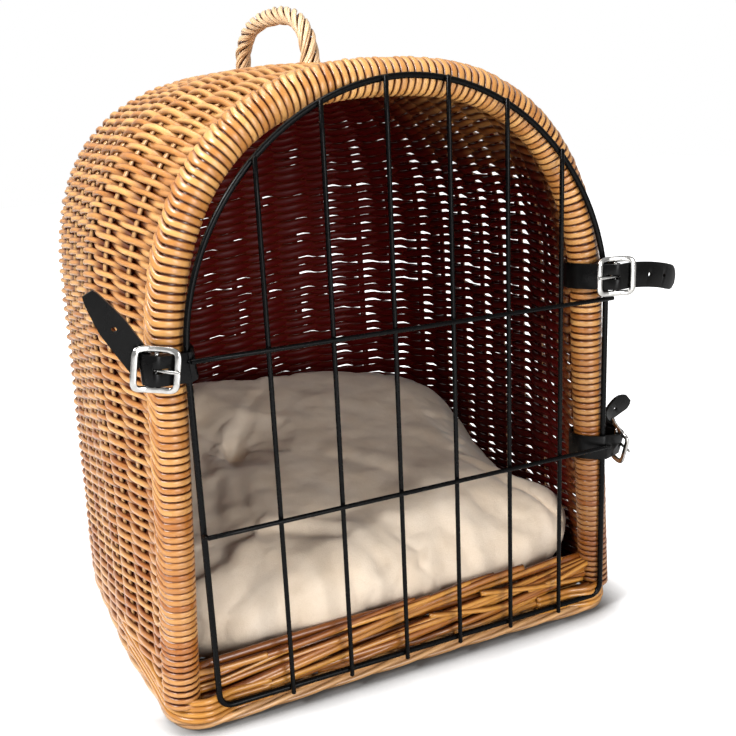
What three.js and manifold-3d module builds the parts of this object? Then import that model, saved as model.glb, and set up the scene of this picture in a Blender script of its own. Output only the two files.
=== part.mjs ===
// Arched wicker pet carrier with a wire door, leather straps and a cushion.
// Millimetres, +Z up, +X to the right seen from the door, +Y towards the back.
// The origin is the middle of the flat underside of the woven base.
import * as THREE from 'three';
import { mergeVertices } from 'three/addons/utils/BufferGeometryUtils.js';
import Module from 'manifold-3d';

const wasm = await Module();
wasm.setup();

// Clearance between pieces that touch, and between leather and what it wraps
const seat = 0.3;
const doorGap = 0.5;

// Woven body, measured over the outside of the weave: half widths at the foot and higher up
const bodyFootHalfWidth = 204.8;
const bodyHalfWidth = 200.5;
const bodyRear = 206;
const bodySpring = 265;
const roofRise = 17.5;
const bodyPower = 2.75;
const weaveThickness = 4.4;
const domeStart = 30;
const domePlanPower = 2.8;
const domeRisePower = 3.2;
const flareDepth = 130;
const neckWidth = 6.5;
const bodyRows = 14;
// Ridges of the weave, each for two rows of rods or so
const ridgeDepth = 2;
const ridgeSteps = 4;

// Front opening: the lapped border roll and the rod core inside it
const rollRadius = 12.5;
const coreRadius = 6;
const archSpring = 240;
const archHalfWidth = 172;
const archFootHalfWidth = 184;
const archApex = 448.5;
const archPower = 2.5;
const archSteps = 38;
const rollFoot = 17.8;

// Wire door, hung a little to the right of the middle
const doorPlane = -211;
const doorCentre = 9;
const doorHalfWidth = 170;
const doorBottom = 15;
const doorSpring = 273.3;
const doorApex = 449.5;
const doorPower = 1.95;
const doorCorner = 10;
const frameWireRadius = 2.25;
const barRadius = 1.75;
const barPitch = 47.8;
const firstBar = -115;
const barCount = 6;
const barOverhang = 4.5;
const crossbarHeights = [151.5, 275.8];
const crossbarOverhang = 2.5;

// Base: woven floor panel inside a border rod
const rimRadius = 4.5;
const floorThickness = 9;
const frontCorner = 30;
const frontBow = 3;
const frontEdge = -213;

// Front sill: stout rods laid across the bottom of the opening
const sillCount = 4;
const sillRadius = 4;
const sillInset = 3.5;
const sillLean = 2;
const sillPlane = -198;

// Stakes, each a pair of thin rods side by side, inside the weave
const stakeThickness = 3.2;
const stakeWidth = 6;
const hoopCount = 6;
const hoopPitch = 34.5;
const firstHoop = 11;
const uprightCount = 17;
const uprightReach = 0.76;

// Handle: twisted rods round a stout core, running front to back
const handleFront = -58;
const handleBack = 113;
const handleRise = 50;
const handleCoreRadius = 3.3;
const strandThickness = 3.3;
const strandWidth = 4.6;
const strandGap = 0.65;
const strandCount = 5;
const strandTurns = 5;
const handlePower = 2.6;
const handleTuck = 16;

// Straps and buckles
const strapWidth = 20;
const strapThickness = 2.2;
const buckleHalfLength = 13.6;
const buckleSideGap = 1.6;
const buckleWireRadius = 1.8;
const buckleDish = 3;
const buckleCorner = 0.28;
const buckleBarRadius = 1.5;
const prongRadius = 1.2;
const prongSlot = 3.6;
const holeRadius = 1.8;
const slotBack = 1.5;
const slotReach = 7.6;
const foldOpen = 0.35;
const beltStep = 0.36;
const wrongWay = 1.5;
const tailLift = 0.1;
const wrapGap = 1.9;
// Where a strap stops being raised with its buckle, as shares of the way back to the border roll
const raiseStart = 0.4;
const raiseEnd = 1.25;
const notchGap = 0.8;
// Each strap: its side (1 is the hinge side) and height, the place of its buckle's bar, how far the
// buckle is turned outwards and how far its tail is raised, as on the hinge side, and the tail's tip
const straps = {
  closing: {
    side: -1, height: 274, bar: [183, -216.5], turn: 15, tilt: 9, wrapsWire: true, tip: [219, -214, 327],
  },
  upper_hinge: {
    side: 1, height: 294, bar: [178.5, -222.5], turn: -16, tilt: 0, wrapsWire: false, tip: [243, -217, 284],
  },
  lower_hinge: {
    side: 1, height: 150, bar: [195, -206], turn: 80, tilt: 22, wrapsWire: true, tip: [221, -192, 180],
  },
};

// Cushion
const cushionHalfWidth = 187;
const cushionNarrowing = 6;
const cushionFront = -184;
const cushionBack = 182;
const cushionFrontPower = 6;
const cushionFrontHeight = 92;
const cushionRise = 62;
const cushionLean = 0.06;
const tuftPlace = [-82, -8];
const tuftDepth = 26;
const tuftSpread = 24;
const foldStart = [-120, -165];
const foldSlope = 0.45;
const foldMiddle = -55;
const foldLength = 75;
const foldDepth = 10;
const foldSpread = 14;

// Shortest edge that a cut may leave
const finestStep = 0.02;

// Values that follow from the ones above
const rollPlane = doorPlane + frameWireRadius + doorGap + rollRadius;
const shellFront = rollPlane + rollRadius + seat;
const barPlane = doorPlane - frameWireRadius - barRadius;
const crossbarPlane = barPlane - 2 * barRadius;
const hingeX = doorCentre + doorHalfWidth;
const closingX = doorCentre - doorHalfWidth;
const bodyTop = archApex + roofRise;
const bodyDepth = bodyRear - domeStart;
const handleTop = bodyTop + handleRise;
const sillSpan = archFootHalfWidth - rollRadius - sillInset;
const shellFoot = 2 * rimRadius + seat;
const stakeInset = weaveThickness + seat + stakeThickness / 2;
const handleMiddle = (handleFront + handleBack) / 2;

const colours = {
  willow: 0xd6924f,
  roll: 0xc08338,
  sill: 0xb0702a,
  rim: 0xd9a56c,
  stake: 0xbd7a3c,
  floor: 0xc48a4c,
  wire: 0x14161a,
  leather: 0x101113,
  nickel: 0xc9c9c6,
  cotton: 0xc9b596,
};

function matte(colour, roughness = 0.6, metalness = 0) {
  return new THREE.MeshStandardMaterial({ color: colour, roughness, metalness });
}

const materials = {
  willow: matte(colours.willow, 0.5),
  roll: matte(colours.roll, 0.45),
  sill: matte(colours.sill, 0.5),
  rim: matte(colours.rim, 0.55),
  stake: matte(colours.stake, 0.55),
  floor: matte(colours.floor, 0.6),
  wire: matte(colours.wire, 0.4, 0.3),
  leather: matte(colours.leather, 0.5),
  nickel: matte(colours.nickel, 0.2, 1),
  cotton: matte(colours.cotton, 0.95),
};

const carrier = new THREE.Group();
carrier.name = 'wicker_pet_carrier';

function piece(name, geometry, material, parent = carrier) {
  const mesh = new THREE.Mesh(geometry, material);
  mesh.name = name;
  parent.add(mesh);
  return mesh;
}

// Solids for cuts and joins

function welded(geometry) {
  const bare = new THREE.BufferGeometry();
  bare.setAttribute('position', geometry.getAttribute('position').clone());
  if (geometry.index) bare.setIndex(geometry.index.clone());
  return mergeVertices(bare, 1e-4);
}

function toSolid(geometry) {
  const closed = welded(geometry);
  const vertProperties = new Float32Array(closed.getAttribute('position').array);
  const triVerts = new Uint32Array(closed.index.array);
  return new wasm.Manifold(new wasm.Mesh({ numProp: 3, vertProperties, triVerts }));
}

function toGeometry(solid) {
  const mesh = solid.getMesh();
  const geometry = new THREE.BufferGeometry();
  geometry.setAttribute('position', new THREE.BufferAttribute(mesh.vertProperties, 3));
  geometry.setIndex(new THREE.BufferAttribute(mesh.triVerts, 1));
  return geometry;
}

// Joins corners closer than a step, and leaves out the triangles that this closes up
function withoutSlivers(geometry, step) {
  const merged = mergeVertices(geometry, step);
  const corners = Array.from(merged.index.array);
  const kept = [];
  for (let i = 0; i < corners.length; i += 3) {
    const [a, b, c] = corners.slice(i, i + 3);
    if (a !== b && b !== c && c !== a) kept.push(a, b, c);
  }
  merged.setIndex(kept);
  return merged;
}

// Height of a triangle over its longest edge, which starts at the returned corner
function thinness(points) {
  const lengths = points.map((point, i) => point.distanceTo(points[(i + 1) % 3]));
  const longest = Math.max(...lengths);
  const area = new THREE.Triangle(...points).getArea();
  return { from: lengths.indexOf(longest), height: (2 * area) / longest };
}

// Where a triangle is needle thin, its long edge is laid the other way across the next triangle
function withoutNeedles(geometry, least) {
  const corners = Array.from(geometry.index.array);
  const point = (index) => new THREE.Vector3().fromBufferAttribute(geometry.attributes.position, index);
  const height = (...indices) => thinness(indices.map(point)).height;
  const after = (i) => i - (i % 3) + ((i + 1) % 3);
  for (let pass = 0; pass < 6; pass += 1) {
    const edges = new Map(corners.map((corner, i) => [`${corner} ${corners[after(i)]}`, i]));
    const turned = new Set();
    for (let start = 0; start < corners.length; start += 3) {
      const thin = thinness(corners.slice(start, start + 3).map(point));
      if (thin.height >= least) continue;
      const i = start + thin.from;
      const [a, b, c] = [corners[i], corners[after(i)], corners[after(after(i))]];
      const j = edges.get(`${b} ${a}`);
      const other = j - (j % 3);
      const d = corners[after(after(j))];
      if (turned.has(start) || turned.has(other)) continue;
      if (edges.has(`${c} ${d}`) || edges.has(`${d} ${c}`)) continue;
      if (Math.min(height(a, d, c), height(d, b, c)) <= thin.height) continue;
      corners.splice(start, 3, a, d, c);
      corners.splice(other, 3, d, b, c);
      turned.add(start);
      turned.add(other);
    }
  }
  geometry.setIndex(corners);
  return geometry;
}

function without(geometry, ...cutters) {
  let solid = toSolid(geometry);
  for (const cutter of cutters) solid = solid.subtract(toSolid(cutter));
  const once = withoutSlivers(toGeometry(solid.simplify(finestStep)), finestStep);
  return withoutNeedles(withoutSlivers(once, 1.6 * finestStep), finestStep);
}

function joined(...geometries) {
  let solid = toSolid(geometries[0]);
  for (const geometry of geometries.slice(1)) solid = solid.add(toSolid(geometry));
  return toGeometry(solid);
}

// Closed solid through a list of rings of points, capped at both ends
function loft(rings) {
  const positions = [];
  const triangle = (a, b, c) => {
    if (a.equals(b) || b.equals(c) || c.equals(a)) return;
    positions.push(...a.toArray(), ...b.toArray(), ...c.toArray());
  };
  const around = rings[0].length;
  for (let i = 0; i + 1 < rings.length; i += 1) {
    for (let j = 0; j < around; j += 1) {
      const next = (j + 1) % around;
      triangle(rings[i][j], rings[i][next], rings[i + 1][next]);
      triangle(rings[i][j], rings[i + 1][next], rings[i + 1][j]);
    }
  }
  const first = rings[0];
  const last = rings[rings.length - 1];
  for (let j = 1; j + 1 < around; j += 1) {
    triangle(first[0], first[j + 1], first[j]);
    triangle(last[0], last[j], last[j + 1]);
  }
  return fromTriangles(positions);
}

// Closed surface from triangles, turned to face outwards whichever way they were listed
function fromTriangles(positions) {
  let volume = 0;
  const corners = [0, 3, 6].map(() => new THREE.Vector3());
  for (let i = 0; i < positions.length; i += 9) {
    corners.forEach((corner, k) => corner.fromArray(positions, i + 3 * k));
    volume += corners[0].dot(corners[1].cross(corners[2]));
  }
  const facing = volume < 0 ? flipped(positions) : positions;
  const geometry = new THREE.BufferGeometry();
  geometry.setAttribute('position', new THREE.Float32BufferAttribute(facing, 3));
  return welded(geometry);
}

function flipped(positions) {
  const turned = [];
  for (let i = 0; i < positions.length; i += 9) {
    const [a, b, c] = [0, 3, 6].map((k) => positions.slice(i + k, i + k + 3));
    turned.push(...a, ...c, ...b);
  }
  return turned;
}

function roundSection(radius, sides) {
  return ovalSection(radius, radius, sides);
}

function ovalSection(radiusX, radiusY, sides) {
  const points = [];
  for (let i = 0; i < sides; i += 1) {
    const angle = (2 * Math.PI * (i + 0.5)) / sides;
    points.push(new THREE.Vector2(radiusX * Math.cos(angle), radiusY * Math.sin(angle)));
  }
  return new THREE.Shape(points);
}

// Rod of a given section along a curve
function rod(curve, section, steps) {
  return new THREE.ExtrudeGeometry(section, { steps, extrudePath: curve, bevelEnabled: false });
}

function straightRod(from, to, radius, sides = 10) {
  const length = from.distanceTo(to);
  const geometry = new THREE.CylinderGeometry(radius, radius, length, sides);
  const turn = new THREE.Quaternion().setFromUnitVectors(
    new THREE.Vector3(0, 1, 0),
    to.clone().sub(from).normalize(),
  );
  const middle = from.clone().add(to).multiplyScalar(0.5);
  return geometry.applyQuaternion(turn).translate(middle.x, middle.y, middle.z);
}

function smooth(t) {
  const x = Math.min(1, Math.max(0, t));
  return x * x * (3 - 2 * x);
}

function mix(a, b, t) {
  return a + (b - a) * t;
}

// One side of an arch in the XZ plane: a leaning leg, then a superellipse up to the apex
class ArchSide extends THREE.Curve {
  constructor({ foot, footHalf, springHalf, spring, apex, power }) {
    super();
    Object.assign(this, { foot, footHalf, springHalf, spring, apex, power });
    this.arcLengthDivisions = 400;
    const leg = spring - foot;
    this.share = leg / (leg + 1.6 * (springHalf + apex - spring) * 0.5);
  }

  getPoint(t, target = new THREE.Vector3()) {
    if (t <= this.share) {
      const up = t / this.share;
      const x = mix(this.footHalf, this.springHalf, up);
      return target.set(x, 0, mix(this.foot, this.spring, up));
    }
    const angle = (((t - this.share) / (1 - this.share)) * Math.PI) / 2;
    const x = t >= 1 ? 0 : this.springHalf * Math.cos(angle) ** (2 / this.power);
    const z = this.spring + (this.apex - this.spring) * Math.sin(angle) ** (2 / this.power);
    return target.set(x, 0, z);
  }
}

// Both sides of an arch, from the left foot over the apex to the right foot
class Arch extends THREE.Curve {
  constructor(side, plane, centre = 0) {
    super();
    Object.assign(this, { side, plane, centre });
    this.arcLengthDivisions = 400;
  }

  getPoint(t, target = new THREE.Vector3()) {
    const left = t < 0.5;
    const point = this.side.getPointAt(left ? 2 * t : 2 - 2 * t);
    return target.set(this.centre + (left ? -point.x : point.x), this.plane, point.z);
  }
}

// Woven body surface

function bodySide(depth, inset = 0, foot = shellFoot) {
  const open = smooth((depth - rollPlane) / flareDepth);
  const frontHalf = archHalfWidth + neckWidth;
  const frontFootHalf = archFootHalfWidth + rollRadius;
  return new ArchSide({
    foot,
    footHalf: mix(frontFootHalf, bodyFootHalfWidth, open) - inset,
    springHalf: mix(frontHalf, bodyHalfWidth, open) - inset,
    spring: mix(archSpring, bodySpring, open),
    apex: mix(archApex + neckWidth, bodyTop, open) - inset,
    power: mix(archPower, bodyPower, open),
  });
}

// Places a point of the middle cross section on the meridian at an angle round the back
function onDome(point, angle, inset = 0) {
  const rise = (point.z - bodySpring) / (bodyTop - inset - bodySpring);
  const reach = rise <= 0 ? 1 : Math.max(0, 1 - rise ** domeRisePower) ** (1 / domeRisePower);
  const across = Math.sign(angle) * Math.abs(Math.sin(angle)) ** (2 / domePlanPower);
  const back = Math.abs(Math.cos(angle)) ** (2 / domePlanPower);
  const square = Math.abs(angle) > Math.PI / 2 - 1e-6;
  const depth = square ? 0 : (bodyDepth - inset) * reach * back;
  return new THREE.Vector3(point.x * across, domeStart + depth, point.z);
}

// Direction that the wall faces at an angle round the back
function domeOutward(angle) {
  const power = (2 * (domePlanPower - 1)) / domePlanPower;
  const across = Math.sign(angle) * Math.abs(Math.sin(angle)) ** power;
  return new THREE.Vector3(across, Math.abs(Math.cos(angle)) ** power, 0);
}

// Lines up the body, from the left of the door round the back to the right of the door
function bodyLines(depths, count, inset = 0) {
  const lines = [];
  const straight = (depth, sign) => {
    const points = bodySide(depth, inset).getSpacedPoints(count);
    return points.map((point) => new THREE.Vector3(sign * point.x, depth, point.z));
  };
  for (const depth of depths) lines.push(straight(depth, -1));
  const middle = bodySide(domeStart, inset).getSpacedPoints(count);
  for (const angle of [-Math.PI / 2, ...uprightAngles(), Math.PI / 2]) {
    lines.push(middle.map((point) => onDome(point, angle, inset)));
  }
  for (const depth of [...depths].reverse()) lines.push(straight(depth, 1));
  for (const line of lines) line[count].setX(0);
  return lines;
}

// Outer lines of the body, whose every second point lies in the valley between two ridges
function ridgedLines(depths) {
  const count = ridgeSteps * bodyRows;
  const ridges = bodyLines(depths, count);
  const valleys = bodyLines(depths, count, ridgeDepth);
  return ridges.map((line, i) => line.map((point, k) => (k % 2 === 1 ? point : valleys[i][k])));
}

function wovenBody() {
  const rows = bodyRows;
  const depths = [shellFront];
  for (let i = 0; i < hoopCount; i += 1) depths.push(hoopDepth(i));
  const outer = ridgedLines(depths);
  const inner = bodyLines(depths, rows, weaveThickness);
  const positions = [];
  const triangle = (a, b, c) => {
    if (a.equals(b) || b.equals(c) || c.equals(a)) return;
    positions.push(...a.toArray(), ...b.toArray(), ...c.toArray());
  };
  const quad = (a, b, c, d) => {
    triangle(a, b, c);
    triangle(a, c, d);
  };
  for (let i = 0; i + 1 < outer.length; i += 1) {
    for (let k = 0; k < ridgeSteps * rows; k += 1) {
      quad(outer[i][k], outer[i][k + 1], outer[i + 1][k + 1], outer[i + 1][k]);
    }
    for (let k = 0; k < rows; k += 1) {
      quad(inner[i][k], inner[i + 1][k], inner[i + 1][k + 1], inner[i][k + 1]);
    }
    quad(outer[i][0], outer[i + 1][0], inner[i + 1][0], inner[i][0]);
  }
  const end = outer.length - 1;
  for (let k = 0; k < rows; k += 1) {
    const low = ridgeSteps * k;
    const middle = low + ridgeSteps / 2;
    triangle(inner[0][k], inner[0][k + 1], outer[0][middle]);
    triangle(inner[end][k + 1], inner[end][k], outer[end][middle]);
    for (let step = low; step < low + ridgeSteps; step += 1) {
      const near = step < middle ? k : k + 1;
      triangle(outer[0][step], inner[0][near], outer[0][step + 1]);
      triangle(outer[end][step + 1], inner[end][near], outer[end][step]);
    }
  }
  return without(fromTriangles(positions), ...handleHoles(), ...strapNotches());
}

// Holes in the roof where the legs of the handle go through the weave
function handleHoles() {
  const radius = handleCoreRadius + 2 * seat;
  return [handleFront, handleBack].map((depth) => straightRod(
    new THREE.Vector3(0, depth, bodyTop - 4 * weaveThickness),
    new THREE.Vector3(0, depth, bodyTop + weaveThickness),
    radius,
    12,
  ));
}

// Notches behind the border roll where the straps go through the weave
function strapNotches() {
  const reach = rollPlane + rollRadius + wrapGap + strapThickness + notchGap;
  return Object.values(straps).map(({ side, height }) => {
    const size = [4 * rollRadius, 2 * (reach - shellFront), strapWidth + 2 * notchGap];
    const notch = new THREE.BoxGeometry(...size);
    return notch.translate(side * rollCentreAt(height), shellFront, height);
  });
}

// Flat or oval rod through points, with its thickness along the given outward directions
function flatRod(points, outward, widths, thickness, sides) {
  const last = points.length - 1;
  return points.map((point, i) => {
    const tangent = points[Math.min(last, i + 1)].clone().sub(points[Math.max(0, i - 1)]);
    const across = tangent.normalize().clone().cross(outward[i]).normalize();
    const out = across.clone().cross(tangent).normalize();
    const width = Array.isArray(widths) ? widths[i] : widths;
    return sides.map(([a, b]) => (
      point.clone().addScaledVector(across, a * width).addScaledVector(out, b * thickness)
    ));
  });
}

const stripSides = [[-0.5, -0.5], [0.5, -0.5], [0.5, 0.5], [-0.5, 0.5]];
const diamondSides = [[0.5, 0], [0, 0.5], [-0.5, 0], [0, -0.5]];
const hexSides = [0, 1, 2, 3, 4, 5].map((i) => {
  const angle = (Math.PI * i) / 3;
  return [0.5 * Math.cos(angle), 0.5 * Math.sin(angle)];
});

// Round rod bent into a closed loop, whose plane faces along the axis
function loop(points, radius, sides, axis) {
  const count = points.length;
  const positions = [];
  const rings = points.map((point, i) => {
    const before = points[(i + count - 1) % count];
    const tangent = points[(i + 1) % count].clone().sub(before).normalize();
    const across = tangent.clone().cross(axis).normalize();
    const up = across.clone().cross(tangent).normalize();
    const ring = [];
    for (let j = 0; j < sides; j += 1) {
      const angle = (2 * Math.PI * j) / sides;
      const out = point.clone().addScaledVector(up, radius * Math.cos(angle));
      ring.push(out.addScaledVector(across, radius * Math.sin(angle)));
    }
    return ring;
  });
  for (let i = 0; i < count; i += 1) {
    const here = rings[i];
    const there = rings[(i + 1) % count];
    for (let j = 0; j < sides; j += 1) {
      const next = (j + 1) % sides;
      for (const corner of [here[j], there[next], here[next], here[j], there[j], there[next]]) {
        positions.push(...corner.toArray());
      }
    }
  }
  return fromTriangles(positions);
}

// Base

function frontLine(x, inset) {
  const share = x / (archFootHalfWidth - frontCorner);
  return frontEdge + inset + frontBow * Math.max(0, 1 - share * share);
}

// Outline of the base, anticlockwise from above, drawn in by the inset
function basePlan(inset) {
  const half = (depth) => bodySide(depth, inset).footHalf;
  const corner = frontCorner - inset;
  const cornerX = half(rollPlane) - corner;
  const cornerY = frontEdge + inset + corner;
  const right = [];
  for (const share of [0.2, 0.4, 0.6, 0.8]) {
    right.push([cornerX * share, frontLine(cornerX * share, inset)]);
  }
  for (let i = 0; i <= 5; i += 1) {
    const angle = (Math.PI * i) / 10;
    right.push([cornerX + corner * Math.sin(angle), cornerY - corner * Math.cos(angle)]);
  }
  for (const share of [0.2, 0.36, 0.52, 0.7, 0.86]) {
    const depth = mix(cornerY, domeStart, share);
    right.push([half(depth), depth]);
  }
  for (let i = 0; i < 10; i += 1) {
    const angle = (Math.PI * (10 - i)) / 20;
    const place = onDome(new THREE.Vector3(bodyFootHalfWidth - inset, 0, 0), angle, inset);
    right.push([place.x, place.y]);
  }
  const left = [...right].reverse().map(([x, y]) => [-x, y]);
  const back = [0, domeStart + bodyDepth - inset];
  return [[0, frontLine(0, inset)], ...right, back, ...left];
}

function baseFloor() {
  const plan = basePlan(2 * rimRadius + seat).map(([x, y]) => new THREE.Vector2(x, y));
  return new THREE.ExtrudeGeometry(new THREE.Shape(plan), { depth: floorThickness, bevelEnabled: false });
}

function footRim() {
  const points = basePlan(rimRadius).map(([x, y]) => new THREE.Vector3(x, y, rimRadius));
  return loop(points, rimRadius, 6, new THREE.Vector3(0, 0, 1));
}

// Front border and sill

function frontSide(foot) {
  return new ArchSide({
    foot,
    footHalf: archFootHalfWidth,
    springHalf: archHalfWidth,
    spring: archSpring,
    apex: archApex,
    power: archPower,
  });
}

function frontRoll() {
  const section = roundSection(rollRadius, 10);
  section.holes.push(roundSection(coreRadius + 2 * seat, 6));
  return rod(new Arch(frontSide(rollFoot), rollPlane), section, archSteps);
}

function frontCore() {
  return rod(new Arch(frontSide(rollFoot), rollPlane), roundSection(coreRadius, 6), archSteps);
}

function sillRod(index) {
  const lowest = index === 0;
  const half = lowest ? archFootHalfWidth - frontCorner / 4 : sillSpan;
  const lean = lowest ? 0 : sillLean;
  const height = shellFoot + sillRadius + index * (2 * sillRadius + seat) + lean;
  const points = [-1, -0.5, 0, 0.5, 1].map((share) => {
    const x = share * half;
    const bow = frontBow * Math.max(0, 1 - share * share);
    return new THREE.Vector3(x, sillPlane + bow, height + share * lean);
  });
  return rod(new THREE.CatmullRomCurve3(points), roundSection(sillRadius, 8), 10);
}

// Stakes

function hoopDepth(index) {
  return shellFront + firstHoop + index * hoopPitch;
}

function stakeHoop(index) {
  const depth = hoopDepth(index);
  const side = bodySide(depth, stakeInset, floorThickness + seat);
  return rod(new Arch(side, depth), ovalSection(stakeWidth / 2, stakeThickness / 2, 4), 2 * bodyRows);
}

// Angles of the stakes round the back, evenly apart at the foot from the last hoop to the last hoop
function uprightAngles() {
  const steps = 720;
  const angles = [];
  const along = [0];
  const foot = new THREE.Vector3(bodyFootHalfWidth, 0, 0);
  for (let i = 0; i <= steps; i += 1) angles.push(Math.PI * (i / steps - 0.5));
  const places = angles.map((angle) => onDome(foot, angle, stakeInset));
  for (let i = 1; i <= steps; i += 1) {
    along.push(along[i - 1] + places[i].distanceTo(places[i - 1]));
  }
  const before = domeStart - hoopDepth(hoopCount - 1);
  const pitch = (along[steps] + 2 * before) / (uprightCount + 1);
  const stops = [];
  for (let k = 1; k <= uprightCount; k += 1) {
    stops.push(angles[along.findIndex((length) => length >= k * pitch - before)]);
  }
  return stops;
}

function stakeUpright(index) {
  const angle = uprightAngles()[index];
  const side = bodySide(domeStart, stakeInset, floorThickness + seat);
  const count = bodyRows;
  const points = side.getSpacedPoints(count).slice(0, Math.round(uprightReach * count) + 1);
  const line = points.map((point) => onDome(point, angle, stakeInset));
  const outward = line.map(() => domeOutward(angle));
  return loft(flatRod(line, outward, stakeWidth, stakeThickness, diamondSides));
}

// Handle

function handleSide(foot) {
  return new ArchSide({
    foot,
    footHalf: (handleBack - handleFront) / 2,
    springHalf: (handleBack - handleFront) / 2,
    spring: bodyTop,
    apex: handleTop - handleCoreRadius - strandGap - strandThickness,
    power: handlePower,
  });
}

function handlePoint(point) {
  return new THREE.Vector3(0, handleMiddle + point.x, point.z);
}

class HandleLine extends THREE.Curve {
  constructor() {
    super();
    this.arch = new Arch(handleSide(bodyTop - weaveThickness - handleTuck), 0);
  }

  getPoint(t, target = new THREE.Vector3()) {
    return target.copy(handlePoint(this.arch.getPoint(t)));
  }
}

function handleCore() {
  return rod(new HandleLine(), roundSection(handleCoreRadius, 6), 28);
}

function roofHeight(depth) {
  if (depth <= domeStart) return bodyTop;
  const share = (depth - domeStart) / bodyDepth;
  return bodySpring + (bodyTop - bodySpring) * (1 - share ** domeRisePower) ** (1 / domeRisePower);
}

function handleStrand(index) {
  const reach = handleCoreRadius + strandGap + strandThickness / 2;
  const slope = 2.5;
  const lowest = (y) => roofHeight(y > handleMiddle ? handleBack - 2 * reach : handleFront) + slope;
  const path = new HandleLine().getSpacedPoints(150).filter((point) => point.z > lowest(point.y));
  const line = [];
  const outward = [];
  const steps = 36;
  for (let i = 0; i <= steps; i += 1) {
    const share = (i * (path.length - 1)) / steps;
    const low = Math.min(path.length - 2, Math.floor(share));
    const centre = path[low].clone().lerp(path[low + 1], share - low);
    const tangent = path[low + 1].clone().sub(path[low]).normalize();
    const sideways = new THREE.Vector3(1, 0, 0);
    const up = sideways.clone().cross(tangent).normalize();
    const angle = 2 * Math.PI * (index / strandCount + (strandTurns * i) / steps);
    const out = up.multiplyScalar(Math.cos(angle)).addScaledVector(sideways, Math.sin(angle));
    outward.push(out);
    line.push(centre.addScaledVector(out, reach));
  }
  return loft(flatRod(line, outward, strandWidth, strandThickness, hexSides));
}

// Door

function archHeight(x) {
  const share = Math.abs(x) / doorHalfWidth;
  return doorSpring + (doorApex - doorSpring) * (1 - share ** doorPower) ** (1 / doorPower);
}

function doorFrame() {
  const half = [];
  for (let i = 0; i <= 4; i += 1) {
    const angle = (Math.PI * i) / 8;
    const x = doorHalfWidth - doorCorner * (1 - Math.sin(angle));
    half.push([x, doorBottom + doorCorner * (1 - Math.cos(angle))]);
  }
  half.push([doorHalfWidth, (doorBottom + doorSpring) / 2]);
  for (let i = 0; i < 12; i += 1) {
    const angle = (Math.PI * i) / 24;
    const x = doorHalfWidth * Math.cos(angle) ** (2 / doorPower);
    half.push([x, archHeight(x)]);
  }
  const left = [...half].reverse().map(([x, z]) => [-x, z]);
  const points = [...half, [0, doorApex], ...left].map(([x, z]) => (
    new THREE.Vector3(doorCentre + x, doorPlane, z)
  ));
  return loop(points, frameWireRadius, 8, new THREE.Vector3(0, -1, 0));
}

function doorBar(index) {
  const x = firstBar + index * barPitch;
  const from = new THREE.Vector3(doorCentre + x, barPlane, doorBottom - barOverhang);
  const to = new THREE.Vector3(doorCentre + x, barPlane, archHeight(x) + frameWireRadius);
  return straightRod(from, to, barRadius, 8);
}

function doorCrossbar(height) {
  const from = new THREE.Vector3(closingX, crossbarPlane, height);
  const to = new THREE.Vector3(hingeX + crossbarOverhang, crossbarPlane, height);
  return straightRod(from, to, barRadius, 8);
}

// Straps: each runs round the border roll and the door's wire and through its buckle.
// The stops are circles that the middle of the leather runs round, seen from above,
// with turn 1 where it runs anticlockwise and -1 where it runs clockwise.

function tangentHeading(a, b) {
  const apart = b.at.clone().sub(a.at);
  const offset = b.turn * b.radius - a.turn * a.radius;
  const run = Math.sqrt(apart.lengthSq() - offset * offset);
  return Math.atan2(apart.y, apart.x) - Math.atan2(offset, run);
}

// How far the line turns at each stop, where less than nothing is a bend the wrong way
function turnsAt(stops, startHeading, endHeading) {
  const headings = stops.slice(1).map((stop, i) => tangentHeading(stops[i], stop));
  return stops.map((stop, i) => {
    const enter = i === 0 ? startHeading : headings[i - 1];
    const leave = i === stops.length - 1 ? endHeading : headings[i];
    const ahead = (leave - enter) * stop.turn + wrongWay;
    const turned = THREE.MathUtils.euclideanModulo(ahead, 2 * Math.PI) - wrongWay;
    return { stop, enter, turned };
  });
}

function beltLine(stops, startHeading, endHeading) {
  let turns = turnsAt(stops, startHeading, endHeading);
  // The leather stays clear of a stop that would have to bend it the other way
  for (let slack = turns.findIndex(({ turned }) => turned < 0); slack > 0;) {
    turns.splice(slack, 1);
    turns = turnsAt(turns.map(({ stop }) => stop), startHeading, endHeading);
    slack = turns.findIndex(({ turned }) => turned < 0);
  }
  const line = [];
  turns.forEach(({ stop, enter, turned }) => {
    const steps = Math.max(1, Math.ceil(turned / beltStep));
    for (let k = 0; k <= steps; k += 1) {
      const heading = enter + (stop.turn * turned * k) / steps;
      const left = new THREE.Vector2(-Math.sin(heading), Math.cos(heading));
      line.push(stop.at.clone().addScaledVector(left, -stop.turn * stop.radius));
    }
  });
  return line.filter((point, i) => i === 0 || point.distanceTo(line[i - 1]) > 0.05);
}

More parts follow.
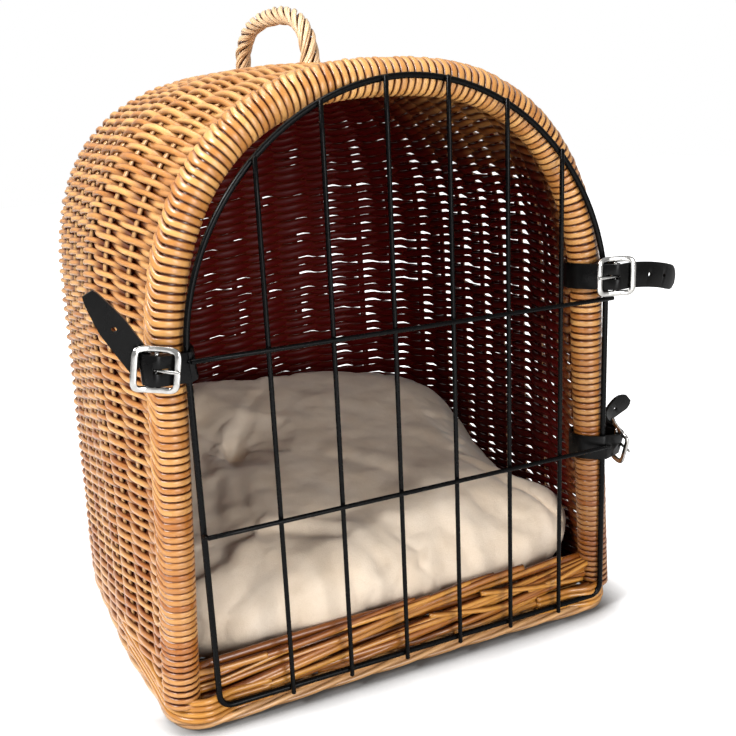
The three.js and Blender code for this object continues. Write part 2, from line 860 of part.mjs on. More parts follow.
// Where one buckle sits: local places are along (towards the prong's tip), out and up
function buckleSeat({ side, height, bar: [barX, barY], turn, tilt }) {
  const angle = THREE.MathUtils.degToRad(turn);
  const raise = THREE.MathUtils.degToRad(tilt);
  const rollX = rollCentreAt(height);
  const out = new THREE.Vector2(Math.sin(angle), -Math.cos(angle));
  const along = new THREE.Vector2(-Math.cos(angle), -Math.sin(angle));
  const bar = new THREE.Vector2(barX, barY);
  const flat = (a, o) => bar.clone().addScaledVector(along, a).addScaledVector(out, o);
  const place = (a, o, u) => {
    const at = flat(a * Math.cos(raise) + u * Math.sin(raise), o);
    return new THREE.Vector3(side * at.x, at.y, height + u * Math.cos(raise) - a * Math.sin(raise));
  };
  const outward = new THREE.Vector3(side * out.x, out.y, 0);
  const level = new THREE.Vector3(side * along.x, along.y, 0);
  const lengthwise = level.clone().multiplyScalar(Math.cos(raise)).setZ(-Math.sin(raise));
  const upward = level.clone().multiplyScalar(Math.sin(raise)).setZ(Math.cos(raise));
  return { side, height, rollX, bar, along, out, flat, place, outward, lengthwise, upward };
}

// How much a level point of a strap is raised with its buckle: not at all behind the border roll
function raisedShare(at, point) {
  const away = at.bar.clone().sub(point).dot(at.out);
  const roll = at.bar.clone().sub(new THREE.Vector2(at.rollX, rollPlane)).dot(at.out) - rollRadius;
  return smooth((raiseEnd - away / roll) / (raiseEnd - raiseStart));
}

function raised(at, point) {
  const from = point.clone().sub(at.bar);
  const turned = at.place(from.dot(at.along), from.dot(at.out), 0);
  const level = new THREE.Vector3(at.side * point.x, point.y, at.height);
  return level.lerp(turned, raisedShare(at, point));
}

function rollCentreAt(height) {
  if (height <= archSpring) {
    return mix(archFootHalfWidth, archHalfWidth, (height - rollFoot) / (archSpring - rollFoot));
  }
  const rise = (height - archSpring) / (archApex - archSpring);
  return archHalfWidth * (1 - rise ** archPower) ** (1 / archPower);
}

// Block in a buckle's own directions, for the slots that the prong needs
function buckleBlock(at, from, to) {
  const size = to.clone().sub(from);
  const middle = from.clone().add(to).multiplyScalar(0.5);
  const geometry = new THREE.BoxGeometry(size.x, size.y, size.z);
  const basis = new THREE.Matrix4().makeBasis(
    at.lengthwise,
    at.outward,
    at.lengthwise.clone().cross(at.outward),
  );
  geometry.applyMatrix4(basis);
  const centre = at.place(middle.x, middle.y, 0);
  return geometry.translate(centre.x, centre.y, centre.z);
}

function strapRoute(at, wraps) {
  const half = strapThickness / 2;
  const foldRadius = buckleBarRadius + seat + half;
  const overFold = foldRadius + strapThickness + seat;
  const underEdge = buckleWireRadius + seat + half;
  const roll = new THREE.Vector2(at.rollX, rollPlane);
  const stops = [
    { at: at.bar, radius: foldRadius, turn: 1 },
    { at: roll, radius: rollRadius + wrapGap + half, turn: 1 },
    ...wraps,
    { at: at.flat(buckleHalfLength, buckleDish), radius: underEdge, turn: -1 },
    { at: at.bar, radius: overFold, turn: 1 },
    { at: at.flat(-buckleHalfLength, buckleDish), radius: underEdge, turn: -1 },
  ];
  const leaving = tangentHeading(stops[0], stops[1]);
  const away = at.flat(-1, 0).sub(at.flat(0, 0));
  const startHeading = leaving - Math.PI + foldOpen;
  return beltLine(stops, startHeading, Math.atan2(away.y, away.x) - tailLift);
}

function strap(at, wraps, [tipX, tipY, tipZ]) {
  const flatLine = strapRoute(at, wraps);
  const line = flatLine.map((point) => raised(at, point));
  const end = line[line.length - 1];
  const heading = end.clone().sub(line[line.length - 2]).normalize();
  const tip = new THREE.Vector3(at.side * tipX, tipY, tipZ);
  const bend = end.clone().addScaledVector(heading, 0.45 * end.distanceTo(tip));
  const curve = new THREE.QuadraticBezierCurve3(end, bend, tip);
  const tailPoints = curve.getSpacedPoints(14).slice(1);
  const tipRound = strapWidth / 2;
  const length = curve.getLength();
  line.push(...tailPoints);
  const widths = line.map((point, i) => {
    const left = length * (1 - (i - flatLine.length + 1) / 14);
    if (i < flatLine.length || left >= tipRound) return strapWidth;
    const share = 1 - left / tipRound;
    return strapWidth * Math.max(0.35, Math.sqrt(1 - share * share));
  });
  const outward = line.map((point, i) => {
    const before = line[Math.max(0, i - 1)];
    const after = line[Math.min(line.length - 1, i + 1)];
    const tangent = after.clone().sub(before).normalize();
    const atBuckle = i >= flatLine.length || flatLine[i].distanceTo(at.bar) < 1.2 * buckleHalfLength;
    const up = atBuckle ? at.upward.clone() : new THREE.Vector3(0, 0, 1);
    return up.cross(tangent).multiplyScalar(at.side).normalize();
  });
  const ribbon = loft(flatRod(line, outward, widths, strapThickness, stripSides));
  const slotHalf = prongSlot / 2;
  const around = buckleBarRadius + seat + strapThickness + seat / 2;
  const fold = new THREE.CylinderGeometry(around, around, prongSlot, 16);
  fold.applyQuaternion(new THREE.Quaternion().setFromUnitVectors(new THREE.Vector3(0, 1, 0), at.upward));
  const barPlace = at.place(0, 0, 0);
  fold.translate(barPlace.x, barPlace.y, barPlace.z);
  const slot = buckleBlock(
    at,
    new THREE.Vector3(-slotBack, 0, -slotHalf),
    new THREE.Vector3(slotReach, 3 * strapThickness + buckleDish, slotHalf),
  );
  const cutters = [fold, slot];
  for (const share of [0.3, 0.62]) {
    const hole = curve.getPointAt(share);
    const along = curve.getTangentAt(share);
    const through = at.upward.clone().cross(along).normalize();
    const reach = through.multiplyScalar(strapThickness);
    cutters.push(straightRod(hole.clone().sub(reach), hole.clone().add(reach), holeRadius, 10));
  }
  return without(ribbon, ...cutters);
}

function buckle(at) {
  const half = strapWidth / 2 + buckleSideGap + buckleWireRadius;
  const points = [];
  const count = 24;
  for (let i = 0; i < count; i += 1) {
    const angle = (2 * Math.PI * (i + 0.5)) / count;
    const a = Math.sign(Math.cos(angle)) * Math.abs(Math.cos(angle)) ** buckleCorner * buckleHalfLength;
    const u = Math.sign(Math.sin(angle)) * Math.abs(Math.sin(angle)) ** buckleCorner * half;
    points.push(at.place(a, buckleDish * (a / buckleHalfLength) ** 2, u));
  }
  const ring = loop(points, buckleWireRadius, 6, at.outward);
  const bar = straightRod(at.place(0, 0, -half), at.place(0, 0, half), buckleBarRadius, 8);
  return joined(ring, bar);
}

function prong(at) {
  const ringRadius = buckleBarRadius + seat + prongRadius;
  const points = [];
  const count = 12;
  for (let i = 0; i < count; i += 1) {
    const angle = (2 * Math.PI * i) / count;
    points.push(at.place(ringRadius * Math.cos(angle), ringRadius * Math.sin(angle), 0));
  }
  const eye = loop(points, prongRadius, 6, at.upward);
  const restHeight = buckleDish + buckleWireRadius + seat + prongRadius;
  const slope = (restHeight - ringRadius) / buckleHalfLength;
  const past = buckleHalfLength + buckleWireRadius;
  const pin = straightRod(
    at.place(0, ringRadius, 0),
    at.place(past, ringRadius + slope * past, 0),
    prongRadius,
    8,
  );
  return joined(eye, pin);
}

// Cushion: a stuffed cotton pad with a full front edge, propped up at the back and the left

function cushionTop(x, y) {
  const back = smooth((y - cushionFront) / (cushionBack - cushionFront));
  let height = cushionFrontHeight + cushionRise * back - cushionLean * x * (0.4 + back);
  const tuft = Math.hypot(x - tuftPlace[0], y - tuftPlace[1]);
  height -= tuftDepth * Math.exp(-((tuft / tuftSpread) ** 2));
  const fold = y - (foldStart[1] + (x - foldStart[0]) * foldSlope);
  const within = smooth((foldLength - Math.abs(x - foldMiddle)) / 40);
  height -= foldDepth * within * Math.exp(-((fold / foldSpread) ** 2));
  return height;
}

function cushion() {
  const bottom = floorThickness + seat;
  const around = 40;
  // Each level: share of the plan's size, and share of the height there
  const levels = [
    [0.45, 0], [0.84, 0], [0.94, 0.12], [1, 0.4], [0.985, 0.62], [0.93, 0.83],
    [0.84, 0.94], [0.7, 0.99], [0.54, 1], [0.36, 1], [0.16, 1],
  ];
  const rings = levels.map(([size, rise]) => {
    const ring = [];
    for (let i = 0; i < around; i += 1) {
      const angle = (2 * Math.PI * i) / around;
      const c = Math.cos(angle);
      const s = Math.sin(angle);
      const power = s < 0 ? cushionFrontPower : domePlanPower;
      const along = Math.abs(s) ** (2 / power);
      const half = cushionHalfWidth - (s < 0 ? cushionNarrowing * along : 0);
      const reach = s < 0 ? cushionFront - domeStart : cushionBack - domeStart;
      const x = size * half * Math.sign(c) * Math.abs(c) ** (2 / power);
      const y = domeStart + size * reach * along;
      ring.push(new THREE.Vector3(x, y, bottom + rise * cushionTop(x, y)));
    }
    return ring;
  });
  return loft(rings);
}

// Assembly

piece('base_floor', baseFloor(), materials.floor);
piece('foot_rim', footRim(), materials.rim);
piece('front_border_roll', frontRoll(), materials.roll);
piece('front_hoop_core', frontCore(), materials.stake);
for (let i = 0; i < sillCount; i += 1) {
  piece(`sill_rod_${i + 1}`, sillRod(i), materials.sill);
}
for (let i = 0; i < hoopCount; i += 1) {
  piece(`stake_hoop_${i + 1}`, stakeHoop(i), materials.stake);
}
for (let i = 0; i < uprightCount; i += 1) {
  piece(`back_stake_${i + 1}`, stakeUpright(i), materials.stake);
}
piece('handle_core', handleCore(), materials.stake);
for (let i = 0; i < strandCount; i += 1) {
  piece(`handle_strand_${i + 1}`, handleStrand(i), materials.willow);
}

const door = new THREE.Group();
carrier.add(door);
piece('door_frame_wire', doorFrame(), materials.wire, door);
for (let i = 0; i < barCount; i += 1) {
  piece(`door_bar_${i + 1}`, doorBar(i), materials.wire, door);
}
piece('lower_crossbar', doorCrossbar(crossbarHeights[0]), materials.wire, door);
piece('upper_crossbar', doorCrossbar(crossbarHeights[1]), materials.wire, door);

const wireStop = (side) => ({
  at: new THREE.Vector2(side > 0 ? hingeX : -closingX, doorPlane),
  radius: frameWireRadius + 0.44 * wrapGap + strapThickness / 2,
  turn: 1,
});

for (const [name, sizes] of Object.entries(straps)) {
  const at = buckleSeat(sizes);
  const wraps = sizes.wrapsWire ? [wireStop(sizes.side)] : [];
  piece(`${name}_strap`, strap(at, wraps, sizes.tip), materials.leather);
  piece(`${name}_buckle`, buckle(at), materials.nickel);
  piece(`${name}_prong`, prong(at), materials.nickel);
}

piece('cushion', cushion(), materials.cotton);

piece('woven_body', wovenBody(), materials.willow);

export default carrier;
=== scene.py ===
# Wicker pet carrier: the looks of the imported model, built around its frame.
# Sizes are in millimetres where they are written, and turned to metres as each mesh is made.
import math
import random

import bmesh
import bpy
import numpy as np
from mathutils import Matrix, Vector, noise


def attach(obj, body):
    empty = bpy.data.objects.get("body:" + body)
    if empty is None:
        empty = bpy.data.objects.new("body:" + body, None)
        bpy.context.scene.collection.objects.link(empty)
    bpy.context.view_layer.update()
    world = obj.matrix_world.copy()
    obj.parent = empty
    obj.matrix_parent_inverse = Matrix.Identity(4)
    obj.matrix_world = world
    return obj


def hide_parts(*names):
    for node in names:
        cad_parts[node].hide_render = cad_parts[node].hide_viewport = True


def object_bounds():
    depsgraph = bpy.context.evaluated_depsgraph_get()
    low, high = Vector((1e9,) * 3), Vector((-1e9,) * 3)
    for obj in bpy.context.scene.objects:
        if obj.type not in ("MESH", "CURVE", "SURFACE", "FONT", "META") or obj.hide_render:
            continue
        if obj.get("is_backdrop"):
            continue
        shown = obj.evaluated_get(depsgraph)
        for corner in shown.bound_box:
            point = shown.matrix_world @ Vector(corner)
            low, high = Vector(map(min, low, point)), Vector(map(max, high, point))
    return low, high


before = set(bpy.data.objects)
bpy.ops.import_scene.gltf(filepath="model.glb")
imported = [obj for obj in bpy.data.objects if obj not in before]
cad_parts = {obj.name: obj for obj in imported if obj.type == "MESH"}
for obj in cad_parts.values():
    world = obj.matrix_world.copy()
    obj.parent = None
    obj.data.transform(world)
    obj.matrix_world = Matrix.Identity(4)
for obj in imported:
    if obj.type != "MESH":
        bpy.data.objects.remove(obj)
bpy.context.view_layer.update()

scene = bpy.context.scene

# The photographer's table: a white sheet, a camera a little left of the door and above it,
# a broad lamp on the left, a weaker one in front, and a white room that the metal mirrors.
camera_right = Vector((0.90322808, -0.42685156, -0.04446101))
camera_up = Vector((0.15109985, 0.21933295, 0.96387857))
camera_back = Vector((-0.4016813, -0.87732024, 0.26260489))
camera_place = Vector((-0.3079, -0.8151, 0.4308))
sensor_width, focal_pixels, picture_width = 36.0, 963.73, 736
room_light, room_mirrored = 0.24, 0.5


def put(name, data):
    """A new object in the scene."""
    piece = bpy.data.objects.new(name, data)
    scene.collection.objects.link(piece)
    return piece


camera_data = bpy.data.cameras.new("photo_camera")
camera_data.sensor_width = sensor_width
camera_data.lens = focal_pixels / picture_width * sensor_width
camera_data.clip_start = 0.01
scene.camera = put("photo_camera", camera_data)
turn = Matrix((camera_right, camera_up, camera_back)).transposed().to_4x4()
scene.camera.matrix_world = Matrix.Translation(camera_place) @ turn
scene.view_settings.view_transform = "Standard"


def feed(node, inputs):
    """Feeds a node's inputs from sockets or with values."""
    for name, item in dict(inputs).items():
        if isinstance(item, bpy.types.NodeSocket):
            node.id_data.links.new(item, node.inputs[name])
        else:
            node.inputs[name].default_value = item


def added(tree, kind, inputs=(), **settings):
    """A new node of a tree, with its settings and its inputs."""
    node = tree.nodes.new("ShaderNode" + kind)
    for name, value in settings.items():
        setattr(node, name, value)
    feed(node, inputs)
    return node


def reckoned(tree, operation, *items):
    """The result of a sum on sockets or values."""
    return added(tree, "Math", enumerate(items), operation=operation).outputs[0]


def ranged(tree, value, low, high, out_low=0.0, out_high=1.0):
    """Maps a value from one range to another, clamped."""
    limits = {"From Min": low, "From Max": high, "To Min": out_low, "To Max": out_high}
    return added(tree, "MapRange", {"Value": value, **limits}).outputs["Result"]


def object_place(tree):
    """The place of each point of a surface."""
    return added(tree, "TexCoord").outputs["Object"]


def principled(name):
    """A new material, its tree and its shader."""
    material = bpy.data.materials.new(name)
    material.use_nodes = True
    return material, material.node_tree, material.node_tree.nodes["Principled BSDF"]


# The room is white to the camera, grey to mirrors, and gives a soft light to everything else
scene.world = bpy.data.worlds.new("white_room")
scene.world.use_nodes = True
tree = scene.world.node_tree
seen = added(tree, "LightPath").outputs
straight = reckoned(tree, "MAXIMUM", seen["Is Camera Ray"], seen["Is Transmission Ray"])
soft = added(tree, "Mix", {"Factor": seen["Is Glossy Ray"], "A": room_light, "B": room_mirrored})
shown = added(tree, "Mix", {"Factor": straight, "A": soft.outputs["Result"], "B": 1.0})
feed(tree.nodes["Background"], {"Color": (1, 1, 1, 1), "Strength": shown.outputs["Result"]})

# The sheet glows white away from the carrier and beside it, and is shaded where they touch in
# front. Its distances are in metres.
bpy.ops.mesh.primitive_plane_add(size=9, location=(0, 0, 0))
sheet = bpy.context.object
sheet.name = "white_sheet"
sheet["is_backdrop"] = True
paper, tree, surface = principled("white_paper")
from_middle = added(tree, "VectorMath", {0: object_place(tree)}, operation="LENGTH")
flat = added(tree, "SeparateXYZ", {0: object_place(tree)}).outputs
far_off = ranged(tree, from_middle.outputs["Value"], 0.24, 0.42, 0.1, 1.15)
beside = ranged(tree, flat["X"], 0.16, 0.235)
crevice = added(tree, "AmbientOcclusion", {"Distance": 0.05}).outputs["AO"]
contact = ranged(tree, crevice, 0.55, 0.9, 0.12, 0.9)
behind_front = ranged(tree, flat["Y"], -0.16, -0.205, 0.9, 0.0)
past_side = ranged(tree, reckoned(tree, "ABSOLUTE", flat["X"]), 0.17, 0.23, 0.0, 0.9)
shade = reckoned(tree, "MAXIMUM", reckoned(tree, "MAXIMUM", contact, behind_front), past_side)
glow = reckoned(tree, "MULTIPLY", reckoned(tree, "MAXIMUM", far_off, beside), shade)
seen = added(tree, "LightPath").outputs["Is Camera Ray"]
feed(surface, {
    "Base Color": shade,
    "Roughness": 0.9,
    "Emission Color": (1, 1, 1, 1),
    "Emission Strength": reckoned(tree, "MULTIPLY", seen, glow),
})
sheet.data.materials.append(paper)


def lamp(name, place, aim, size, power):
    """A square soft box that faces a point."""
    data = bpy.data.lights.new(name, "AREA")
    data.size = size
    data.energy = power
    box = put(name, data)
    box.location = place
    box.rotation_euler = (Vector(place) - Vector(aim)).to_track_quat("Z", "Y").to_euler()


lamp("left_soft_box", (-1.3, -0.45, 1.5), (0, 0, 0.3), 0.45, 40)
lamp("front_soft_box", (0.1, -1.9, 0.55), (0, -0.1, 0.2), 0.7, 18)
lamp("low_soft_box", (0.0, -0.98, 0.05), (0, -0.05, 0.46), 0.4, 1.6)
lamp("top_soft_box", (-0.4, 0.1, 2.0), (0, 0, 0.3), 1.0, 19)

# Willow: peeled rods boiled golden and varnished. The colour changes from rod to rod and along each rod,
# and old knots show as specks. Shade is painted into the colour too: dark over the inside of the carrier,
# where rods pass behind others, along their sides, and more towards the bottom.
MM = 0.001
rng = random.Random(7)
dark_fibre, knot_tone = (0.55, 0.36, 0.2, 1), (0.10, 0.035, 0.01, 1)
# Two painted shades: in the gaps where rods pass behind others, and over the inside of the carrier
painted_gap_shade, inside_painted_shade = (0.105, 0.022, 0.004, 1), (0.075, 0.003, 0.003, 1)

# The willow's colour group: its tone, fibres and knots, with painted shade laid over them
grain_and_shade = bpy.data.node_groups.new("willow_grain_and_shade", "ShaderNodeTree")
for way, kind, labels in (
    ("INPUT", "Color", ("Pale", "Deep", "Inside")),
    ("INPUT", "Float", ("Spread", "Gloss")),
    ("OUTPUT", "Color", ("Colour",)),
    ("OUTPUT", "Float", ("Roughness", "Height", "Varnish")),
):
    for label in labels:
        grain_and_shade.interface.new_socket(label, in_out=way, socket_type="NodeSocket" + kind)
grain_and_shade_in = grain_and_shade.nodes.new("NodeGroupInput").outputs
grain_and_shade_out = grain_and_shade.nodes.new("NodeGroupOutput")


def mixed(tree, blend, factor, first, second):
    """A colour mix. The factor and colours are sockets or values."""
    inputs = {0: factor, 6: first, 7: second}
    return added(tree, "Mix", inputs, data_type="RGBA", blend_type=blend).outputs[2]


def noise_at(tree, scale, detail=2.0, roughness=0.5, place=None):
    """The strength of a noise on the object, or at a given place."""
    at = object_place(tree) if place is None else place
    inputs = {"Vector": at, "Scale": scale, "Detail": detail, "Roughness": roughness}
    return added(tree, "TexNoise", inputs).outputs["Fac"]


def bumped(tree, height, strength, distance):
    """The normals of a bump from a height socket, with the distance in metres."""
    inputs = {"Height": height, "Strength": strength, "Distance": distance}
    return added(tree, "Bump", inputs).outputs["Normal"]


rod_map = added(grain_and_shade, "UVMap", uv_map="rod").outputs["UV"]
drawn_out = added(grain_and_shade, "Mapping", {"Vector": rod_map, "Scale": (9, 0.12, 1)}).outputs["Vector"]
fibre = noise_at(grain_and_shade, 1.0, 3.0, place=drawn_out)
mottle = noise_at(grain_and_shade, 55.0, 4.0)
speck = noise_at(grain_and_shade, 320.0)
# tint is each rod's own tone; inner and deep mask painted shade, inside the carrier and where rods lie deep
tint, inner, deep = (
    added(grain_and_shade, "Attribute", attribute_name=name).outputs["Fac"] for name in ("tint", "inner", "deep")
)
height = added(grain_and_shade, "SeparateXYZ", {0: object_place(grain_and_shade)}).outputs["Z"]
# Painted shade: the colour deepens towards the bottom, where less light falls
low_shade = ranged(grain_and_shade, height, 0.34, 0.04, 0.0, 0.4)
tint_and_low_shade = reckoned(grain_and_shade, "ADD", reckoned(grain_and_shade, "MULTIPLY_ADD", mottle, 0.5, tint), low_shade)
tone_and_shade = reckoned(grain_and_shade, "MULTIPLY", ranged(grain_and_shade, tint_and_low_shade, 0.2, 1.5), grain_and_shade_in["Spread"])
colour = mixed(grain_and_shade, "MIX", tone_and_shade, grain_and_shade_in["Pale"], grain_and_shade_in["Deep"])
colour = mixed(grain_and_shade, "MULTIPLY", ranged(grain_and_shade, fibre, 0.4, 0.72, 0.0, 0.3), colour, dark_fibre)
colour = mixed(grain_and_shade, "MIX", ranged(grain_and_shade, speck, 0.72, 0.78, 0.0, 0.7), colour, knot_tone)
# Painted shade where rods lie deep, then painted shade over the inside of the carrier
colour = mixed(grain_and_shade, "MIX", deep, colour, painted_gap_shade)
feed(grain_and_shade_out, {
    "Colour": mixed(grain_and_shade, "MIX", inner, colour, grain_and_shade_in["Inside"]),
    "Roughness": reckoned(grain_and_shade, "MULTIPLY_ADD", fibre, 0.25, grain_and_shade_in["Gloss"]),
    "Height": fibre,
    "Varnish": ranged(grain_and_shade, inner, 0.0, 1.0, 0.95, 0.0),
})


def willow(name, pale, dark, spread=0.6, gloss=0.22):
    """Varnished willow in a pale and a deep tone, under the painted shade of the colour group."""
    material, tree, surface = principled(name)
    tones = {"Pale": (*pale, 1), "Deep": (*dark, 1), "Inside": inside_painted_shade}
    rod = added(tree, "Group", node_tree=grain_and_shade)
    feed(rod, {**tones, "Spread": spread, "Gloss": gloss})
    feed(surface, {
        "Base Color": rod.outputs["Colour"],
        "Roughness": rod.outputs["Roughness"],
        "Specular IOR Level": 0.08,
        "Coat Weight": rod.outputs["Varnish"],
        "Coat Roughness": gloss + 0.1,
        "Normal": bumped(tree, rod.outputs["Height"], 0.35, 0.0004),
    })
    return material


def unit(vectors):
    """The same vectors, each of length one."""
    return vectors / np.linalg.norm(vectors, axis=-1, keepdims=True)


def lengths_along(points):
    """The length of a line up to each of its points."""
    return np.concatenate([[0], np.cumsum(np.linalg.norm(np.diff(points, axis=0), axis=1))])


def points_at(*axes):
    """Points from their places along each axis, as numbers or rows of numbers."""
    return np.stack(np.broadcast_arrays(*axes), -1)


def bowed(wave, power):
    """A sine or cosine made squarer by a power under one, or rounder by one over it."""
    return np.sign(wave) * np.abs(wave) ** power


def ring_angles(sides):
    """Angles evenly round a ring."""
    return (np.arange(sides) + 0.5) * 2 * math.pi / sides


def tube(points, outs, wide, thick, sides, square):
    """Rings of corners along a rod, oval, with its thickness along outs."""
    wide, thick, square = (np.reshape(size, (-1, 1, 1)) for size in (wide, thick, square))
    along = unit(np.gradient(points, axis=0))
    across = unit(np.cross(along, outs))
    up = np.cross(across, along)
    angle = ring_angles(sides)[None, :, None]
    beside = across[:, None] * bowed(np.cos(angle), square) * wide
    return points[:, None] + beside + up[:, None] * bowed(np.sin(angle), square) * thick


class Rods:
    """Many rods gathered into one mesh, with their tones, painted shade masks and the map the willow group
    reads.
    """

    def __init__(self):
        self.corners, self.faces, self.maps = [], [], []
        self.shades = {"tint": [], "inner": [], "deep": []}
        self.count = 0

    def add(self, points, outs, wide, thick=None, sides=6, tone=None, sunk=0.0, edge=0.0, inside_shade=None,
            square=1.0, closed=False):
        """One rod. sunk and edge paint shade over it and its sides; the inside shade paints shade on its
        inner face.
        """
        thick = wide if thick is None else thick
        points = np.asarray(points, float)
        outs = np.broadcast_to(np.asarray(outs, float), points.shape)
        rings = tube(points, outs, wide, thick, sides, square)
        if closed:
            rings, points, outs = rings[:-1], points[:-1], outs[:-1]
        turns = len(rings)
        here = np.arange(turns * sides).reshape(turns, sides) + self.count
        ahead, beside = np.roll(here, -1, axis=0), np.roll(here, -1, axis=1)
        quads = np.stack([here, ahead, np.roll(ahead, -1, axis=1), beside], -1)
        self.faces += quads[:turns if closed else turns - 1].reshape(-1, 4).tolist()
        if not closed:
            self.faces += [here[0].tolist(), here[-1][::-1].tolist()]
        self.corners.append(rings.reshape(-1, 3))
        tone = rng.random() if tone is None else tone
        inner = 0.0
        if inside_shade is not None:
            facing = (unit(rings - points[:, None]) * outs[:, None]).sum(2)
            inner = np.clip((0.15 - facing) / 0.5, 0, 1) * np.reshape(inside_shade, (-1, 1))
        # Painted shade along the sides of the rod, and over it where it is sunk
        painted_side_shade = np.abs(np.cos(ring_angles(sides))) ** 3 * np.reshape(edge, (-1, 1))
        deep = np.clip(np.reshape(sunk, (-1, 1)) + painted_side_shade, 0, 1)
        for label, values in (("tint", tone), ("inner", inner), ("deep", deep)):
            self.shades[label].append(np.broadcast_to(values, (turns, sides)).ravel())
        along = (lengths_along(points) + rng.random() * 500)[:, None]
        around = np.arange(sides) / sides
        self.maps.append(points_at(around, along).reshape(-1, 2))
        self.count += turns * sides

    def mesh(self, name, material, replaced, slot, body="carrier"):
        """The gathered rods as one piece."""
        data = bpy.data.meshes.new(name)
        data.from_pydata((np.concatenate(self.corners) * MM).tolist(), [], self.faces)
        for label, values in self.shades.items():
            layer = data.attributes.new(label, "FLOAT", "POINT")
            layer.data.foreach_set("value", np.concatenate(values).astype(np.float32))
        corner = np.zeros(len(data.loops), np.int32)
        data.loops.foreach_get("vertex_index", corner)
        rod_map = np.concatenate(self.maps)[corner].astype(np.float32).ravel()
        data.uv_layers.new(name="rod").data.foreach_set("uv", rod_map)
        data.shade_smooth()
        data.validate()
        data.materials.append(material)
        piece = put(name, data)
        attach(piece, body)
        if replaced:
            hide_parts(*replaced)


# Woven wall and roof: pairs of willow rods run from the border on one side of the door, round
# the domed back, to the other side. The two rods of a pair are twisted, so that one passes
# outside a stake while the other passes inside it, and they change places before the next.
foot_half, wall_half, body_rear, dome_start = 204.8, 200.5, 206.0, 30.0
wall_spring, body_top, wall_power, plan_power, rise_power = 265.0, 466.0, 2.75, 2.8, 3.2
roll_plane, roll_radius, neck, flare = -195.75, 12.5, 6.5, 130.0
arch_foot_half, arch_half, arch_spring, arch_apex, arch_power = 184.0, 172.0, 240.0, 448.5, 2.5
shell_foot, roll_foot = 9.3, 17.8
hoop_count, hoop_gap, hoop_pitch, back_stakes = 6, 11.3, 34.5, 17
hoop_depths = [roll_plane + roll_radius + hoop_gap + hoop_pitch * i for i in range(hoop_count)]
weave_inset, twist_out, twist_up, twist_lean, rod_radius = 4.9, 2.8, 1.7, 0.2, 2.25
row_pitch, waled_rows, waled_climb, fewest_apart = 8.65, 4, 2.5, 17
side_count, dome_count, easing_count = 45, 150, 7
lap_drop, lap_wide, lap_thick, lap_edge = 15, (2.3, 2.65), 1.35, 1.35
lap_turns = (62, 40, 22, 8, -4, -16, -28, -42, -58, -82, -106, -130, -154, -178, -202, -226, -246)


def smooth(t):
    t = np.clip(t, 0, 1)
    return t * t * (3 - 2 * t)


def mix(a, b, t):
    return a + (b - a) * t


def arch_side(foot, half_at_foot, half, spring, apex, power):
    """Half an arch, foot to apex: a function from shares of its length to places, and its length."""
    share = np.linspace(0, 1, 900)
    leg = (spring - foot) / (spring - foot + 0.8 * (half + apex - spring))
    angle = np.clip((share - leg) / (1 - leg), 0, 1) * math.pi / 2
    x = half * np.clip(np.cos(angle), 0, 1) ** (2 / power)
    z = spring + (apex - spring) * np.sin(angle) ** (2 / power)
    x = np.where(share <= leg, mix(half_at_foot, half, share / leg), x)
    z = np.where(share <= leg, mix(foot, spring, share / leg), z)
    x[-1] = 0
    length = lengths_along(points_at(x, z))

    def place(t):
        return np.interp(t * length[-1], length, x), np.interp(t * length[-1], length, z)

    return place, length[-1]


def wall_side(depth, inset):
    """The side of the body at a depth, drawn in by an inset."""
    opened = smooth((depth - roll_plane) / flare)
    return arch_side(
        shell_foot,
        mix(arch_foot_half + roll_radius, foot_half, opened) - inset,
        mix(arch_half + neck, wall_half, opened) - inset,
        mix(arch_spring, wall_spring, opened),
        mix(arch_apex + neck, body_top, opened) - inset,
        mix(arch_power, wall_power, opened),
    )


def dome_places(x, z, angles, inset):
    """Carries a point of the middle section round the back to the given angles."""
    rise = np.clip((z - wall_spring) / (body_top - inset - wall_spring), 0, 1)
    reach = np.clip(1 - rise ** rise_power, 0, 1) ** (1 / rise_power)
    depth = dome_start + (body_rear - dome_start - inset) * reach * np.abs(np.cos(angles)) ** (2 / plan_power)
    return points_at(x * bowed(np.sin(angles), 2 / plan_power), depth, z)


dense_angles = np.linspace(-math.pi / 2, math.pi / 2, 1441)
foot_lengths = lengths_along(dome_places(foot_half, shell_foot, dense_angles, 6.3))
before_dome = dome_start - hoop_depths[-1]
back_pitch = (foot_lengths[-1] + 2 * before_dome) / (back_stakes + 1)
stake_lengths = np.arange(1, back_stakes + 1) * back_pitch - before_dome
stake_angles = np.interp(stake_lengths, foot_lengths, dense_angles)
dome_lengths = np.linspace(0, foot_lengths[-1], dome_count + 2)[1:-1]
dome_angles = np.interp(dome_lengths, foot_lengths, dense_angles)
side_depths = np.linspace(hoop_depths[0], dome_start, side_count)
row_count = round(wall_side(0.0, weave_inset)[1] / row_pitch)

# How many stakes have been passed at each place of a row, from the first hoop on the left
side_phase = np.where(
    side_depths <= hoop_depths[-1],
    (side_depths - hoop_depths[0]) / hoop_pitch,
    hoop_count - 1 + (side_depths - hoop_depths[-1]) / back_pitch,
)
dome_phase = hoop_count - 1 + (dome_lengths + before_dome) / back_pitch
last_phase = 2 * (hoop_count - 1) + back_stakes + 1
phase = np.concatenate([side_phase, dome_phase, last_phase - side_phase[::-1]])


def wall_grid(shares, inset):
    """Rows of places over the whole wall at shares of its height, left front to right front."""
    left = []
    for depth in side_depths:
        x, z = wall_side(depth, inset)[0](shares)
        left.append(points_at(-x, depth, z))
    left = np.stack(left, 1)
    x, z = wall_side(dome_start, inset)[0](shares)
    dome = dome_places(x[:, None], z[:, None], dome_angles, inset)
    return np.concatenate([left, dome, left[:, ::-1] * np.array([-1, 1, 1])], 1)


